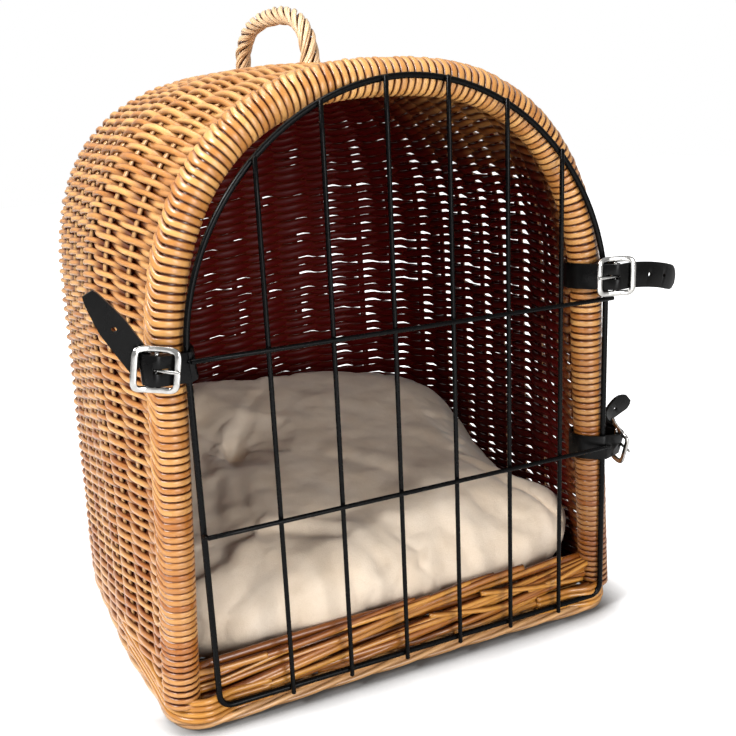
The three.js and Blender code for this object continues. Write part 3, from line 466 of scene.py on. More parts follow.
row_shares = (np.arange(row_count) + 0.5) / row_count
wall = wall_grid(row_shares, weave_inset)
above, below = (wall_grid(np.clip(row_shares + step, 0, 0.9995), weave_inset) for step in (0.004, -0.004))
upwards = unit(above - below)
outwards = unit(np.cross(unit(np.gradient(wall, axis=1)), upwards))
if outwards[row_count // 3, 20, 0] > 0:
    outwards = -outwards

roll_side, roll_length = arch_side(roll_foot, arch_foot_half, arch_half, arch_spring, arch_apex, arch_power)
lapping = [(row, which) for row in range(row_count) for which in (0, 1) if not (which and row % 2)]


def roll_frame(share, sign):
    """Centre of the border roll at a share of its side, and the ways out and back."""
    x0, z0 = roll_side(max(0.0, share - 0.002))
    x1, z1 = roll_side(min(1.0, share + 0.002))
    centre = np.array([sign * (x0 + x1) / 2, roll_plane, (z0 + z1) / 2])
    return centre, unit(np.array([sign * (z1 - z0), 0, x0 - x1])), np.array([0, 1.0, 0])


def lap(order, sign, start, start_out, fullness):
    """The end of a rod from the first hoop: it drops beside the roll and laps round it."""
    share = (order + 0.5) / len(lapping)
    drop = lap_drop * smooth(share / 0.34) * (1 - 0.8 * smooth((share - 0.42) / 0.35))
    drop *= 1 - smooth((share - 0.86) / 0.14)
    places, outs = [], []
    for degrees in lap_turns:
        progress = smooth((30 - degrees) / 68)
        centre, out, back = roll_frame(share - drop * progress / roll_length, sign)
        radial = out * math.cos(math.radians(degrees)) + back * math.sin(math.radians(degrees))
        lifted = (0.5 + 1.3 * fullness) * (1 - smooth((20 - degrees) / 60))
        places.append(centre + radial * (roll_radius - lap_thick + lifted))
        outs.append(radial)
    bridge = [mix(start, places[0], part) for part in (0.35, 0.7)]
    bridge_outs = [mix(start_out, outs[0], part) for part in (0.35, 0.7)]
    return np.array(bridge + places), np.array(bridge_outs + outs)


def inside_shade_at(places):
    """How dark the painted shade inside is. It thins out towards the border, most of all overhead, where more
    light falls in.
    """
    y, z = places[:, 1], places[:, 2]
    at_side = 1 - 0.75 * (1 - smooth((y + 178) / 30))
    overhead = 1 - 0.92 * (1 - smooth((y + 100) / 230)) * smooth((z - 350) / 70)
    return at_side * overhead


def strand(row, which):
    """One rod of a row's twisted pair, from lap to lap."""
    share = row_shares[row]
    waled = row < waled_rows
    half_turn = 2 * math.pi / 3 if waled else math.pi
    perimeter = lengths_along(wall[row, side_count - 1:side_count + dome_count + 1])[-1]
    turns = phase.copy()
    if perimeter / (back_stakes + 1) < fewest_apart:
        # High on the dome the stakes come together, so the rods pass several at once
        fewer = max(2, round(perimeter / 27))
        lengths = lengths_along(wall[row])
        first = side_count - easing_count
        last = len(phase) - 1 - first
        span = (lengths - lengths[first]) / (lengths[last] - lengths[first])
        turns[first:last + 1] = phase[first] + span[first:last + 1] * (fewer + 2)
        turns[last + 1:] = phase[last + 1:] - phase[last] + turns[last]
    outer, upper = np.cos(half_turn * (turns + which)), np.sin(half_turn * (turns + which))
    course = np.linspace(0, 1, len(phase))
    swing = np.sin(course * rng.uniform(20, 34) + rng.uniform(0, 6.28)) * 0.45
    radius = rod_radius * rng.uniform(0.86, 1.17) * (1 + 0.08 * np.sin(course * rng.uniform(6, 14)))
    climb = waled_climb if waled else twist_up
    places = wall[row] + outwards[row] * (twist_out * outer)[:, None]
    places = places + upwards[row] * (twist_lean * outer - climb * upper + swing)[:, None]
    # Painted shade where the rod lies deep behind the stakes and its partner, thinner where the inside is lit
    sunk = smooth((0.45 - outer) / 1.3) * 1.05 * (0.3 + 0.7 * inside_shade_at(places))
    # Inside the stakes a rod is pressed broad against its neighbours, which leaves only thin slits
    across, depth = wall[row][:, 0], wall[row][:, 1]
    packed = np.interp(across, (-195, -120, 65, 115, 165, 200), (1.45, 2.08, 2.02, 1.72, 1.66, 1.54))
    packed = packed - 0.14 * (across > 0) * smooth((60 - depth) / 120)
    crossing = np.interp(across, (-195, -120, 65, 115), (0.95, 1.16, 1.16, 0.97))
    broad = radius * mix(packed, crossing, smooth((outer + 0.42) / 0.66))
    if (row, which) not in lapping:
        return places, outwards[row], broad, radius * 0.94, sunk, np.zeros(len(places))
    order = lapping.index((row, which))
    fullness = 1 if order % 2 else 0.5
    left, left_out = lap(order, -1, places[0], outwards[row][0], fullness)
    right, right_out = lap(order, 1, places[-1], outwards[row][-1], fullness)
    ends = len(right)
    flatter = smooth((np.arange(ends) - 4) / 6)
    flat = np.concatenate([flatter[::-1], np.zeros(len(places)), flatter])
    at_foot = 0.84 + 0.16 * smooth(share / 0.2)
    wide = mix(np.pad(broad, ends, "edge"), rng.uniform(*lap_wide) * at_foot, flat)
    thick = mix(np.pad(radius, ends, "edge") * 0.94, lap_thick, flat)
    # Painted shade on the laps: low down on the roll, and more on its right side, which lies in shade
    low_shade = 1 - smooth((share - 0.15) / 0.4)
    on_right = 0.34 * low_shade + 0.14 * smooth((0.75 - share) / 0.3)
    sunk = np.pad(sunk, ends, constant_values=(0.1 * low_shade, on_right))
    points = np.concatenate([left[::-1], places, right])
    return points, np.concatenate([left_out[::-1], outwards[row], right_out]), wide, thick, sunk, flat


wall_willow = willow("wall_willow", (0.76, 0.415, 0.135), (0.42, 0.14, 0.018), spread=1.0)
for name, low, high, replaced in (
    ("woven_wall", 0, 0.31, ("woven_body", "front_border_roll")),
    ("woven_shoulder", 0.31, 0.65, ()),
    ("woven_roof", 0.65, 1.01, ()),
):
    rods = Rods()
    for row in range(row_count):
        if not low <= row_shares[row] < high:
            continue
        for which in range(3 if row < waled_rows else 2):
            # edge paints shade along the sides of the rods, most on the flat laps
            points, outs, wide, thick, sunk, flat = strand(row, which)
            rods.add(points, outs, wide, thick, 8, sunk=sunk, edge=mix(0.75, lap_edge, flat),
                     inside_shade=inside_shade_at(points), square=mix(1.0, 0.62, flat))
    rods.mesh(name, wall_willow, replaced, "woven_wall")

# Border core: the stout rod hidden under the laps, coloured dark as painted shade, seen only as the dark
# between them
shade_core_willow = willow("shade_core_willow", (0.30, 0.13, 0.04), (0.16, 0.05, 0.015))
border_core_radius = 9.9
core = Rods()
for sign in (-1, 1):
    frames = [roll_frame(share, sign) for share in np.linspace(0, 1, 40)]
    core.add([centre for centre, _, _ in frames], (0, 1, 0), border_core_radius, sides=12, tone=0.9, sunk=0.9)
core.mesh("border_core", shade_core_willow, ["front_hoop_core"], "stake")

# Stakes: pairs of thin rods side by side. Six pairs are bent over as hoops, and the pairs
# round the back lean in towards the crown of the roof.
stake_willow = willow("stake_willow", (0.66, 0.38, 0.15), (0.45, 0.2, 0.06), spread=0.5)
stake_radius, stake_apart, stake_sunk, hoop_middle, leaning_share = 1.75, 1.62, 0.12, 240.0, 0.84
# Stakes: a little painted shade over them, and painted shade on their faces inside the carrier
hoops = Rods()
for depth in hoop_depths:
    x, z = wall_side(depth, weave_inset)[0](np.linspace(0, 1, 46))
    half = points_at(-x, depth, z)
    line = np.concatenate([half, (half * np.array([-1, 1, 1]))[-2::-1]])
    for side in (-1, 1):
        rod_line = line + np.array([0, side * stake_apart, 0])
        outs = unit(rod_line - np.array([0, depth, hoop_middle]))
        hoops.add(rod_line, outs, stake_radius, sunk=stake_sunk, inside_shade=1.0)
hoops.mesh("stake_hoops", stake_willow, [f"stake_hoop_{i + 1}" for i in range(hoop_count)], "stake")

uprights = Rods()
lean_x, lean_z = wall_side(dome_start, weave_inset)[0](np.linspace(0, leaning_share, 34))
for angle in stake_angles:
    line, next_line = (dome_places(lean_x, lean_z, at, weave_inset) for at in (angle, angle + 0.01))
    beside = unit(next_line[0] - line[0])
    outs = unit(np.cross(np.gradient(line, axis=0), beside))
    if (outs[0] * line[0])[:2].sum() < 0:
        outs = -outs
    for side in (-1, 1):
        uprights.add(line + beside * side * stake_apart, outs, stake_radius, sunk=stake_sunk, inside_shade=1.0)
uprights.mesh("back_stakes", stake_willow, [f"back_stake_{i + 1}" for i in range(back_stakes)], "stake")

# Foot rim: three thin rods twisted into one long rope, which goes all round the base
front_edge, front_bow, front_corner, rim_radius = -213.0, 3.0, 30.0, 4.5
rim_twist, rim_reach, rim_wide, rim_thick = 125, 2.15, 2.5, 2.25


def base_line(inset, height, steps=60):
    """The outline of the base, from the middle of the front round to it again."""

    def half(depth):
        return mix(arch_foot_half + roll_radius, foot_half, smooth((depth - roll_plane) / flare)) - inset

    corner = front_corner - inset
    corner_x, corner_y = half(roll_plane) - corner, front_edge + inset + corner
    x = np.linspace(0, corner_x, steps, endpoint=False)
    bow = front_bow * np.clip(1 - (x / (arch_foot_half - front_corner)) ** 2, 0, 1)
    front = points_at(x, front_edge + inset + bow)
    angle = np.linspace(0, math.pi / 2, 14)
    turn_part = points_at(corner_x + corner * np.sin(angle), corner_y - corner * np.cos(angle))
    depths = np.linspace(corner_y, dome_start, steps)[1:-1]
    side_part = points_at(half(depths), depths)
    dome_part = dome_places(foot_half - inset, 0, np.linspace(math.pi / 2, 0, steps), inset)[:, :2]
    right = np.concatenate([front, turn_part, side_part, dome_part])
    line = np.concatenate([right, right[-2:0:-1] * np.array([-1, 1])])
    return np.column_stack([line, np.full(len(line), height)])


def evenly(line, count, closed=True):
    """The same line with its points evenly apart, and its length."""
    if closed:
        line = np.concatenate([line, line[:1]])
    length = lengths_along(line)
    at = np.linspace(0, length[-1], count + 1)
    return np.stack([np.interp(at, length, line[:, i]) for i in range(3)], -1), length[-1]


def twisted(first, second, turns):
    """The way out of a line to a rod that is twisted round it, in turns from the first way out."""
    wave = 2 * math.pi * turns[:, None]
    return first * np.cos(wave) + second * np.sin(wave)


rim_line, rim_length = evenly(base_line(rim_radius, rim_radius), 420)
rim_out = unit(np.cross(unit(np.gradient(rim_line, axis=0)), [0, 0, 1.0]))
rim_course = round(rim_length / rim_twist) * np.linspace(0, 1, len(rim_line))
rim = Rods()
for k in range(3):
    # edge paints shade along the sides of each rod
    around = twisted(rim_out, np.array([0, 0, 1.0]), k / 3 + rim_course)
    rim.add(rim_line + around * rim_reach, around, rim_wide, rim_thick, 8, tone=0.2 + 0.25 * k, edge=0.5,
            closed=True)
rim_willow = willow("rim_willow", (0.74, 0.44, 0.2), (0.52, 0.25, 0.08))
rim.mesh("twisted_foot_rim", rim_willow, ["foot_rim"], "rim")

# Front sill: a bundle of stout varnished rods laid across the foot of the doorway. They cross
# at a slant, so that each comes up from behind its neighbour, and a few cut ends show.
sill_half, sill_plane, sill_low, sill_lowest = 175.0, -198.5, 12.0, 12.2
slanting_rods, slanting_pitch, slanting_start, shortest_rod, slanting_climb = 21, 31, -455, 25, 36
to_front = (0, -1, 0)
sill = Rods()

# Straight rods at the back of the bundle
for i in range(4):
    x = np.linspace(-sill_half, sill_half, 24)
    line = points_at(x, sill_plane + 6.5, 14 + 9.5 * i + 1.5 * np.sin(x / 40 + i))
    # Painted shade darkens these rods, which lie behind the rest
    sill.add(line, to_front, 3.6, 2.6, 8, tone=0.95, sunk=0.55)

# Slanting rods, which rise to the right and level out under the top of the bundle
for i in range(slanting_rods):
    began = slanting_start + slanting_pitch * i + rng.uniform(-8, 8)
    slope = rng.uniform(0.085, 0.15)
    ended = min(sill_half, began + slanting_climb / slope + rng.uniform(15, 60))
    x = np.linspace(max(-sill_half, began), ended, 46)
    if x[-1] - x[0] < shortest_rod:
        continue
    share = (x + sill_half) / (2 * sill_half)
    top = 41.5 + 12 * smooth((share - 0.1) / 0.75) - rng.uniform(0, 2.5)
    height = sill_low + slope * (x - began)
    over = np.clip(height - top + 4, 0, None)
    height = np.minimum(height, top - 4 + over / (1 + over / 4))
    height = height + 0.9 * np.sin(x / rng.uniform(24, 40) + 2.1 * i)
    depth = sill_plane - 2.6 + 5.5 * smooth((height - 16) / 30) + 1.8 * np.sin(x / rng.uniform(26, 44) + i)
    depth += 4 * smooth(1 - (x - x[0]) / 25)
    radius = rng.uniform(2.1, 3.1) * (1 + 0.08 * np.sin(share * 5 + i))
    line = points_at(x, depth, np.clip(height, sill_lowest, None))
    # edge paints shade along the sides of the rods, here and in the rods below
    sill.add(line, to_front, radius, radius * 0.92, 10, tone=rng.uniform(0.02, 0.98), edge=1.15)

# Short rods that cross them in front
for began, ended, high, low in ((18, 118, 33, 20), (66, 168, 40, 27), (112, 174, 30, 41)):
    share = np.linspace(0, 1, 24)
    depth = sill_plane - 5.4 + 7 * np.abs(share - 0.5)
    line = points_at(mix(began, ended, share), depth, mix(high, low, share))
    sill.add(line, to_front, 2.3, 2.1, 10, tone=0.1, edge=1.0)

# Rods bent round the two front corners
for side in (-1, 1):
    for i in range(4):
        bend = base_line(1.6 + 0.5 * i, 0)
        bend = bend[(bend[:, 0] * side > 118) & (bend[:, 1] < -96 + 14 * i)]
        bend = bend[np.argsort(np.arctan2(bend[:, 1] + 150, bend[:, 0] * side - 150))]
        share = np.linspace(0, 1, len(bend))
        bend[:, 1] += 5.5 * smooth((170 - np.abs(bend[:, 0])) / 22)
        bend[:, 2] = 8.5 + 4.6 * i + 7 * smooth((share - 0.35) / 0.6) - 1.5 * smooth((0.4 - share) / 0.4)
        outs = unit((bend - np.array([side * 150.0, -150.0, 0])) * np.array([1, 1, 0]))
        sill.add(bend, outs, 2.5, 2.3, 10, tone=rng.uniform(0.0, 0.5), edge=0.6)
sill_willow = willow("sill_willow", (0.74, 0.36, 0.062), (0.31, 0.10, 0.012), spread=1.0, gloss=0.16)
sill.mesh("sill_bundle", sill_willow, [f"sill_rod_{i}" for i in range(1, 5)], "sill")

# Floor: a woven panel of willow inside the rim, thin rods across stout ones
floor_height, floor_margin, stout_pitch, thin_pitch, floor_wave = 4.5, 3, 24.0, 5.0, 2.3
floor_outline, _ = evenly(base_line(2 * rim_radius + 1.2, 0), 400)
floor_rods = Rods()


def floor_span(value, axis, count):
    """Places across the floor, from one edge of its outline to the other."""
    near = floor_outline[np.abs(floor_outline[:, axis] - value) < 4][:, 1 - axis]
    low, high = (near.min(), near.max()) if len(near) else (0, 0)
    return np.linspace(low + floor_margin, high - floor_margin, count)


for x in np.arange(-180, 181, stout_pitch):
    floor_rods.add(points_at(x, floor_span(x, 0, 24), floor_height), (0, 0, 1), 3.0, 1.9, 8)
for i, y in enumerate(np.arange(-200, 199, thin_pitch)):
    x = floor_span(y, 1, 76)
    z = floor_height + floor_wave * np.cos(x * math.pi / stout_pitch + math.pi * i)
    floor_rods.add(points_at(x, y, z), (0, 0, 1), 2.3, 2.0)
floor_willow = willow("floor_willow", (0.66, 0.38, 0.16), (0.45, 0.2, 0.06))
floor_rods.mesh("woven_floor", floor_willow, ["base_floor"], "floor")

# Handle: five willow strands laid side by side round a stout core and twisted. Their ends
# spread a little where they go into the roof.
handle_front, handle_back, handle_rise, handle_power = -58.0, 113.0, 50.0, 2.6
core_radius, strand_gap, strand_thick, handle_sunk, handle_turns = 3.3, 0.65, 3.3, 20.4, 3.2
handle_middle = (handle_front + handle_back) / 2
handle_half = (handle_back - handle_front) / 2
handle_side, _ = arch_side(
    body_top - handle_sunk, handle_half, handle_half, body_top,
    body_top + handle_rise - core_radius - strand_gap - strand_thick, handle_power,
)
side_x, side_z = handle_side(np.linspace(0, 1, 80))
front_part, back_part = (points_at(0, handle_middle + way * side_x, side_z) for way in (-1, 1))
handle_line = np.concatenate([front_part, back_part[-2::-1]])
behind = np.clip((handle_line[:, 1] - dome_start) / (body_rear - dome_start), 0, 1)
roof = wall_spring + (body_top - wall_spring) * (1 - behind ** rise_power) ** (1 / rise_power)
handle_path, _ = evenly(handle_line[handle_line[:, 2] > roof - 6], 150, closed=False)
handle_along = unit(np.gradient(handle_path, axis=0))
sideways = np.array([1.0, 0, 0])
handle_up = np.cross(sideways, handle_along)
share = np.linspace(0, 1, len(handle_path))
spread = np.clip(1 - np.minimum(share, 1 - share) / 0.06, 0, 1) ** 2 * 3.2
reach = core_radius + strand_gap + strand_thick / 2 + spread
handle = Rods()
for k in range(5):
    around = twisted(handle_up, sideways, k / 5 + handle_turns * share)
    sideward = np.cross(handle_along, around)
    for part in range(3):
        sway = 0.45 * np.sin(share * rng.uniform(14, 26) + rng.uniform(0, 6.28))
        beside = (1.5 * (part - 1) + sway) * (1 + spread / 3)
        lifted = reach + (0.8 if part == 1 else 0.0) + 0.4 * np.sin(share * rng.uniform(10, 22) + part)
        # edge paints shade along the sides of each rod
        handle.add(handle_path + around * lifted[:, None] + sideward * beside[:, None], around,
                   rng.uniform(1.0, 1.45), rng.uniform(0.95, 1.2), 8, tone=rng.uniform(0.0, 0.75), edge=0.5)
handle_willow = willow("handle_willow", (0.93, 0.70, 0.43), (0.60, 0.29, 0.10))
handle.mesh("twisted_handle", handle_willow, [f"handle_strand_{i}" for i in range(1, 6)], "handle")
handle_core = Rods()
# The core is coloured dark and sunk as painted shade, seen only between the strands
handle_core.add(handle_path, handle_up, core_radius + 0.3, sides=10, tone=0.9, sunk=0.8)
handle_core.mesh("handle_core_rod", shade_core_willow, ["handle_core"], "stake")

# Door: welded steel wire, lacquered black. The frame wire lies behind the upright bars, and
# two crossbars lie in front of them, with a small bead of weld wherever two wires meet.
lacquer, tree, surface = principled("black_lacquer")
brushed = noise_at(tree, 240.0)
feed(surface, {
    "Base Color": (0.0008, 0.0008, 0.0009, 1),
    "Specular IOR Level": 0.1,
    "Roughness": ranged(tree, brushed, 0.3, 0.7, 0.2, 0.34),
    "Normal": bumped(tree, brushed, 0.15, 0.0002),
})
door_plane, door_centre, door_half, door_low = -211.0, 9.0, 170.0, 15.0
door_spring, door_apex, door_power, door_corner = 273.3, 449.5, 1.95, 10.0
wire_radius, bar_radius, bar_pitch, first_bar, bar_count = 2.25, 1.75, 47.8, -115.0, 6
bar_plane = door_plane - wire_radius - bar_radius
crossbar_plane = bar_plane - 2 * bar_radius
crossbar_heights = (151.5, 275.8)
wire_cap = ((0.9, 0.3), (0.55, 0.65), (0.0, 0.95))


def door_arch(x):
    """Height of the door's wire at a distance from its middle."""
    rise = (1 - (abs(x) / door_half) ** door_power) ** (1 / door_power)
    return door_spring + (door_apex - door_spring) * rise


def wire(name, points, radius, replaced, closed=False):
    """A round wire of the door, with rounded ends when it is open."""
    points = np.asarray(points, float)
    radii = np.full(len(points), radius)
    if not closed:
        steps = [radius * (1 - back) * 0.6 for back, _ in wire_cap]
        sizes = [radius * math.sqrt(1 - round_off * round_off) for _, round_off in wire_cap]
        head = [points[0] + unit(points[0] - points[1]) * step for step in steps[::-1]]
        tail = [points[-1] + unit(points[-1] - points[-2]) * step for step in steps]
        points = np.concatenate([head, points, tail])
        radii = np.concatenate([sizes[::-1], radii, sizes])
    rods = Rods()
    rods.add(points, to_front, radii, sides=14, tone=0.5, closed=closed)
    rods.mesh(name, lacquer, [replaced], "wire", "door")


right_frame = [(x, door_low) for x in np.linspace(0, door_half - door_corner - 8, 16)]
for angle in np.linspace(0, math.pi / 2, 8):
    x, z = door_corner * (1 - math.sin(angle)), door_corner * (1 - math.cos(angle))
    right_frame.append((door_half - x, door_low + z))
right_frame += [(door_half, z) for z in np.linspace(door_low + door_corner + 8, door_spring - 8, 24)]
for angle in np.linspace(0, math.pi / 2, 40)[:-1]:
    x = door_half * math.cos(angle) ** (2 / door_power)
    right_frame.append((x, door_arch(x)))
right_frame.append((0.0, door_apex))
left_frame = [(-x, z) for x, z in right_frame[-2::-1]]
hoop = [(door_centre + x, door_plane, z) for x, z in right_frame + left_frame]
wire("door_hoop", hoop, wire_radius, "door_frame_wire", closed=True)
bar_places = [first_bar + i * bar_pitch for i in range(bar_count)]
for i, x in enumerate(bar_places):
    heights = np.linspace(door_low - 3.4, door_arch(x) + wire_radius - 1.1, 12)
    bar = points_at(door_centre + x, bar_plane, heights)
    wire(f"upright_bar_{i + 1}", bar, bar_radius, f"door_bar_{i + 1}")
across = np.linspace(door_centre - door_half + 1, door_centre + door_half + 1.4, 12)
for name, z in zip(("lower", "upper"), crossbar_heights):
    wire(f"{name}_cross_wire", points_at(across, crossbar_plane, z), bar_radius, f"{name}_crossbar")

# Beads of weld, each as long as the wires it joins are apart
bead_half, bead_tall, bead_long, end_bead_long = 1.9, 1.7, 2.1, 4.2
beads = []
for x in bar_places:
    behind_bar = (door_plane + bar_plane) / 2 - 0.3
    beads += [(x, behind_bar, door_low, bead_long), (x, behind_bar, door_arch(x), bead_long)]
    beads += [(x, (bar_plane + crossbar_plane) / 2, z, bead_long) for z in crossbar_heights]
for x in (-door_half, door_half):
    beads += [(x, (door_plane + crossbar_plane) / 2, z, end_bead_long) for z in crossbar_heights]


def finished(name, work, *materials):
    """A piece from its corners and faces."""
    data = bpy.data.meshes.new(name)
    work.to_mesh(data)
    work.free()
    for material in materials:
        data.materials.append(material)
    return put(name, data)


work = bmesh.new()
for x, y, z, long in beads:
    shape = Matrix.Diagonal((bead_half * MM, long * MM, bead_tall * MM, 1))
    shape = Matrix.Translation(Vector((door_centre + x, y, z)) * MM) @ shape
    bmesh.ops.create_uvsphere(work, u_segments=14, v_segments=8, radius=1.0, matrix=shape)
welds = finished("weld_beads", work, lacquer)
welds.data.shade_smooth()
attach(welds, "door")

# Straps: black bridle leather with a smooth face; the cut edges of the closing strap's tail are brown.
# Each runs round the border roll and through its buckle.
leather, tree, surface = principled("bridle_leather")
pores = added(tree, "TexVoronoi", {"Vector": object_place(tree), "Scale": 900.0}).outputs["Distance"]
creases = noise_at(tree, 90.0, 5.0)
worn = ranged(tree, creases, 0.5, 0.8, 0.0, 0.5)
feed(surface, {
    "Base Color": mixed(tree, "MIX", worn, (0.0014, 0.0013, 0.0013, 1), (0.006, 0.0055, 0.005, 1)),
    "Roughness": ranged(tree, creases, 0.3, 0.7, 0.24, 0.36),
    "Specular IOR Level": 0.12,
    "Coat Weight": 0.04,
    "Coat Roughness": 0.25,
    "Normal": bumped(tree, pores, 0.12, 0.0002),
})
cut_edge, tree, surface = principled("cut_leather_edge")
feed(surface, {
    "Base Color": mixed(tree, "MIX", noise_at(tree, 500.0), (0.16, 0.09, 0.05, 1), (0.02, 0.013, 0.01, 1)),
    "Roughness": 0.7,
})
strap_bevel, strap_cut = 0.35, -192.5
tail_start, tail_end = Vector((-190.0, -211.2, 276.5)), Vector((-218.6, -210.5, 327))
tail_bulge = Vector((-0.4, -1, 0))
tail_wide, tail_thick, tail_hole, tip_long, tip_share, hole_radius = 18.5, 2.0, 0.52, 26, 0.42, 1.7


def chosen(*pieces):
    """Selects pieces alone, with the first one active."""
    bpy.ops.object.select_all(action="DESELECT")
    for piece in pieces:
        piece.select_set(True)
    bpy.context.view_layer.objects.active = pieces[0]


def modified(piece, kind, **settings):
    """Applies a modifier to a piece."""
    chosen(piece)
    modifier = piece.modifiers.new(kind.lower(), kind)
    for name, value in settings.items():
        setattr(modifier, name, value)
    bpy.ops.object.modifier_apply(modifier=modifier.name)


def merged(node):
    """The corners and faces of a frame piece, with the corners that lie together merged."""
    work = bmesh.new()
    work.from_mesh(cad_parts[node].data)
    bmesh.ops.remove_doubles(work, verts=work.verts, dist=0.02 * MM)
    return work


def softened(name, node):
    """A strap of the frame with rounded edges and smooth faces."""
    work = merged(node)
    bmesh.ops.dissolve_limit(work, angle_limit=math.radians(0.8), verts=work.verts, edges=work.edges)
    bmesh.ops.recalc_face_normals(work, faces=work.faces)
    piece = finished(name, work, leather)
    modified(piece, "BEVEL", width=strap_bevel * MM, segments=2, limit_method="ANGLE",
             angle_limit=math.radians(50), use_clamp_overlap=True)
    bpy.ops.object.shade_smooth_by_angle(angle=math.radians(48))
    return piece


def strap_tail():
    """The loose end of the closing strap: it leaves its buckle straight and ends in a trimmed tip."""
    run = tail_end - tail_start
    normal = tail_bulge.normalized()
    normal = (normal - run * (normal.dot(run) / run.length_squared)).normalized()
    across = run.normalized().cross(normal)

    def middle(share):
        return tail_start + run * share + tail_bulge * 4 * share * (1 - share)

    work = bmesh.new()
    rings = []
    for share in (step / 24 for step in range(25)):
        left = run.length * (1 - share) / tip_long
        half = tail_wide / 2 * (1 if left > 1 else mix(tip_share, 1, left ** 0.7))
        corners = ((-half, -0.5), (-half, 0.5), (half, 0.5), (half, -0.5))
        rings.append([
            work.verts.new((middle(share) + across * wide + normal * (deep * tail_thick)) * MM)
            for wide, deep in corners
        ])
    for near, far in zip(rings, rings[1:]):
        for k in range(4):
            face = work.faces.new((near[k], near[(k + 1) % 4], far[(k + 1) % 4], far[k]))
            face.material_index = 1 if k in (0, 2) else 0
    work.faces.new(rings[0][::-1])
    work.faces.new(rings[-1])
    bmesh.ops.recalc_face_normals(work, faces=work.faces)
    piece = finished("strap_tail", work, leather, cut_edge)
    punching = bmesh.new()
    placed = Matrix.Translation(middle(tail_hole) * MM) @ normal.to_track_quat("Z", "Y").to_matrix().to_4x4()
    bmesh.ops.create_cone(punching, cap_ends=True, segments=16, radius1=hole_radius * MM,
                          radius2=hole_radius * MM, depth=4 * tail_thick * MM, matrix=placed)
    punch = finished("punch", punching)
    modified(piece, "BOOLEAN", object=punch, operation="DIFFERENCE")
    bpy.data.objects.remove(punch)
    return piece


for name in ("closing", "upper_hinge", "lower_hinge"):
    strap = softened(f"{name}_leather", f"{name}_strap")
    if name == "closing":
        # Beyond the buckle the frame's strap gives way to the longer tail
        cutting = bmesh.new()
        cutting.from_mesh(strap.data)
        cut = bmesh.ops.bisect_plane(
            cutting, geom=cutting.verts[:] + cutting.edges[:] + cutting.faces[:],
            plane_co=Vector((strap_cut, 0, 0)) * MM, plane_no=(-1, 0, 0), clear_outer=True,
        )
        loops = [edge for edge in cut["geom_cut"] if isinstance(edge, bmesh.types.BMEdge)]
        bmesh.ops.holes_fill(cutting, edges=loops)
        cutting.to_mesh(strap.data)
        cutting.free()
        chosen(strap, strap_tail())
        bpy.ops.object.join()
    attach(strap, "carrier")
    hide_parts(f"{name}_strap")

# Buckles: cast frames in polished nickel with a bar across the middle, and a pin that turns
# on the bar and rests on the far edge
nickel, tree, surface = principled("polished_nickel")
rub = noise_at(tree, 160.0, 3.0)
feed(surface, {
    "Base Color": mixed(tree, "MIX", rub, (0.34, 0.33, 0.31, 1), (0.72, 0.71, 0.69, 1)),
    "Metallic": 1.0,
    "Roughness": ranged(tree, rub, 0.3, 0.7, 0.1, 0.24),
})
buckle_half, buckle_tall, buckle_wire, buckle_dish, buckle_square = 13.6, 13.4, 1.8, 3.0, 0.28
wire_wide, wire_thick, wire_square = 1.22, 0.72, 0.72
buckle_bar, prong_radius, prong_gap = 1.5, 1.2, 0.15
buckle_seats = {
    "closing": (-1, 274.0, (183.0, -216.5), 15.0, 9.0),
    "upper_hinge": (1, 294.0, (178.5, -222.5), -16.0, 0.0),
    "lower_hinge": (1, 150.0, (195.0, -206.0), 80.0, 22.0),
}
for name, (side, height, bar, turn_degrees, tilt_degrees) in buckle_seats.items():
    facing, raised = math.radians(turn_degrees), math.radians(tilt_degrees)
    outward = np.array([side * math.sin(facing), -math.cos(facing), 0])
    level = np.array([-side * math.cos(facing), -math.sin(facing), 0])
    upright = np.array([0, 0, 1.0])
    lengthwise = level * math.cos(raised) - upright * math.sin(raised)
    upward = level * math.sin(raised) + upright * math.cos(raised)
    middle_bar = np.array([side * bar[0], bar[1], height])

    def seat(a, o, u):
        return middle_bar + a * lengthwise + o * outward + u * upward

    a = bowed(np.cos(ring_angles(64)), buckle_square)[:, None]
    u = bowed(np.sin(ring_angles(64)), buckle_square)[:, None]
    ring, _ = evenly(seat(a * buckle_half, buckle_dish * a ** 2, u * buckle_tall), 96)
    rods = Rods()
    rods.add(ring, outward, buckle_wire * wire_wide, buckle_wire * wire_thick, 16, tone=0.5,
             square=wire_square, closed=True)
    bar_line = seat(0, 0, np.linspace(-buckle_tall, buckle_tall, 6)[:, None])
    rods.add(bar_line, outward, buckle_bar, sides=12, tone=0.5)
    rods.mesh(f"{name}_frame", nickel, [f"{name}_buckle"], "nickel")
    eye_radius = buckle_bar + prong_gap + prong_radius
    t = np.linspace(0, 2 * math.pi, 33)[:, None]
    eye = seat(eye_radius * np.cos(t), eye_radius * np.sin(t), 0)
    rods = Rods()
    rods.add(eye, upward, prong_radius, sides=10, tone=0.5, closed=True)
    slope = (buckle_dish + buckle_wire + prong_gap + prong_radius - eye_radius) / buckle_half
    reach = np.linspace(0, buckle_half + buckle_wire, 14)
    pin = seat(reach[:, None], eye_radius + slope * reach[:, None], 0)
    taper = prong_radius * np.clip(1.15 - 0.35 * (reach / reach[-1]) ** 2, 0, 1)
    rods.add(pin, upward, taper, sides=10, tone=0.5)
    rods.mesh(f"{name}_pin", nickel, [f"{name}_prong"], "nickel", f"{name}_pin")

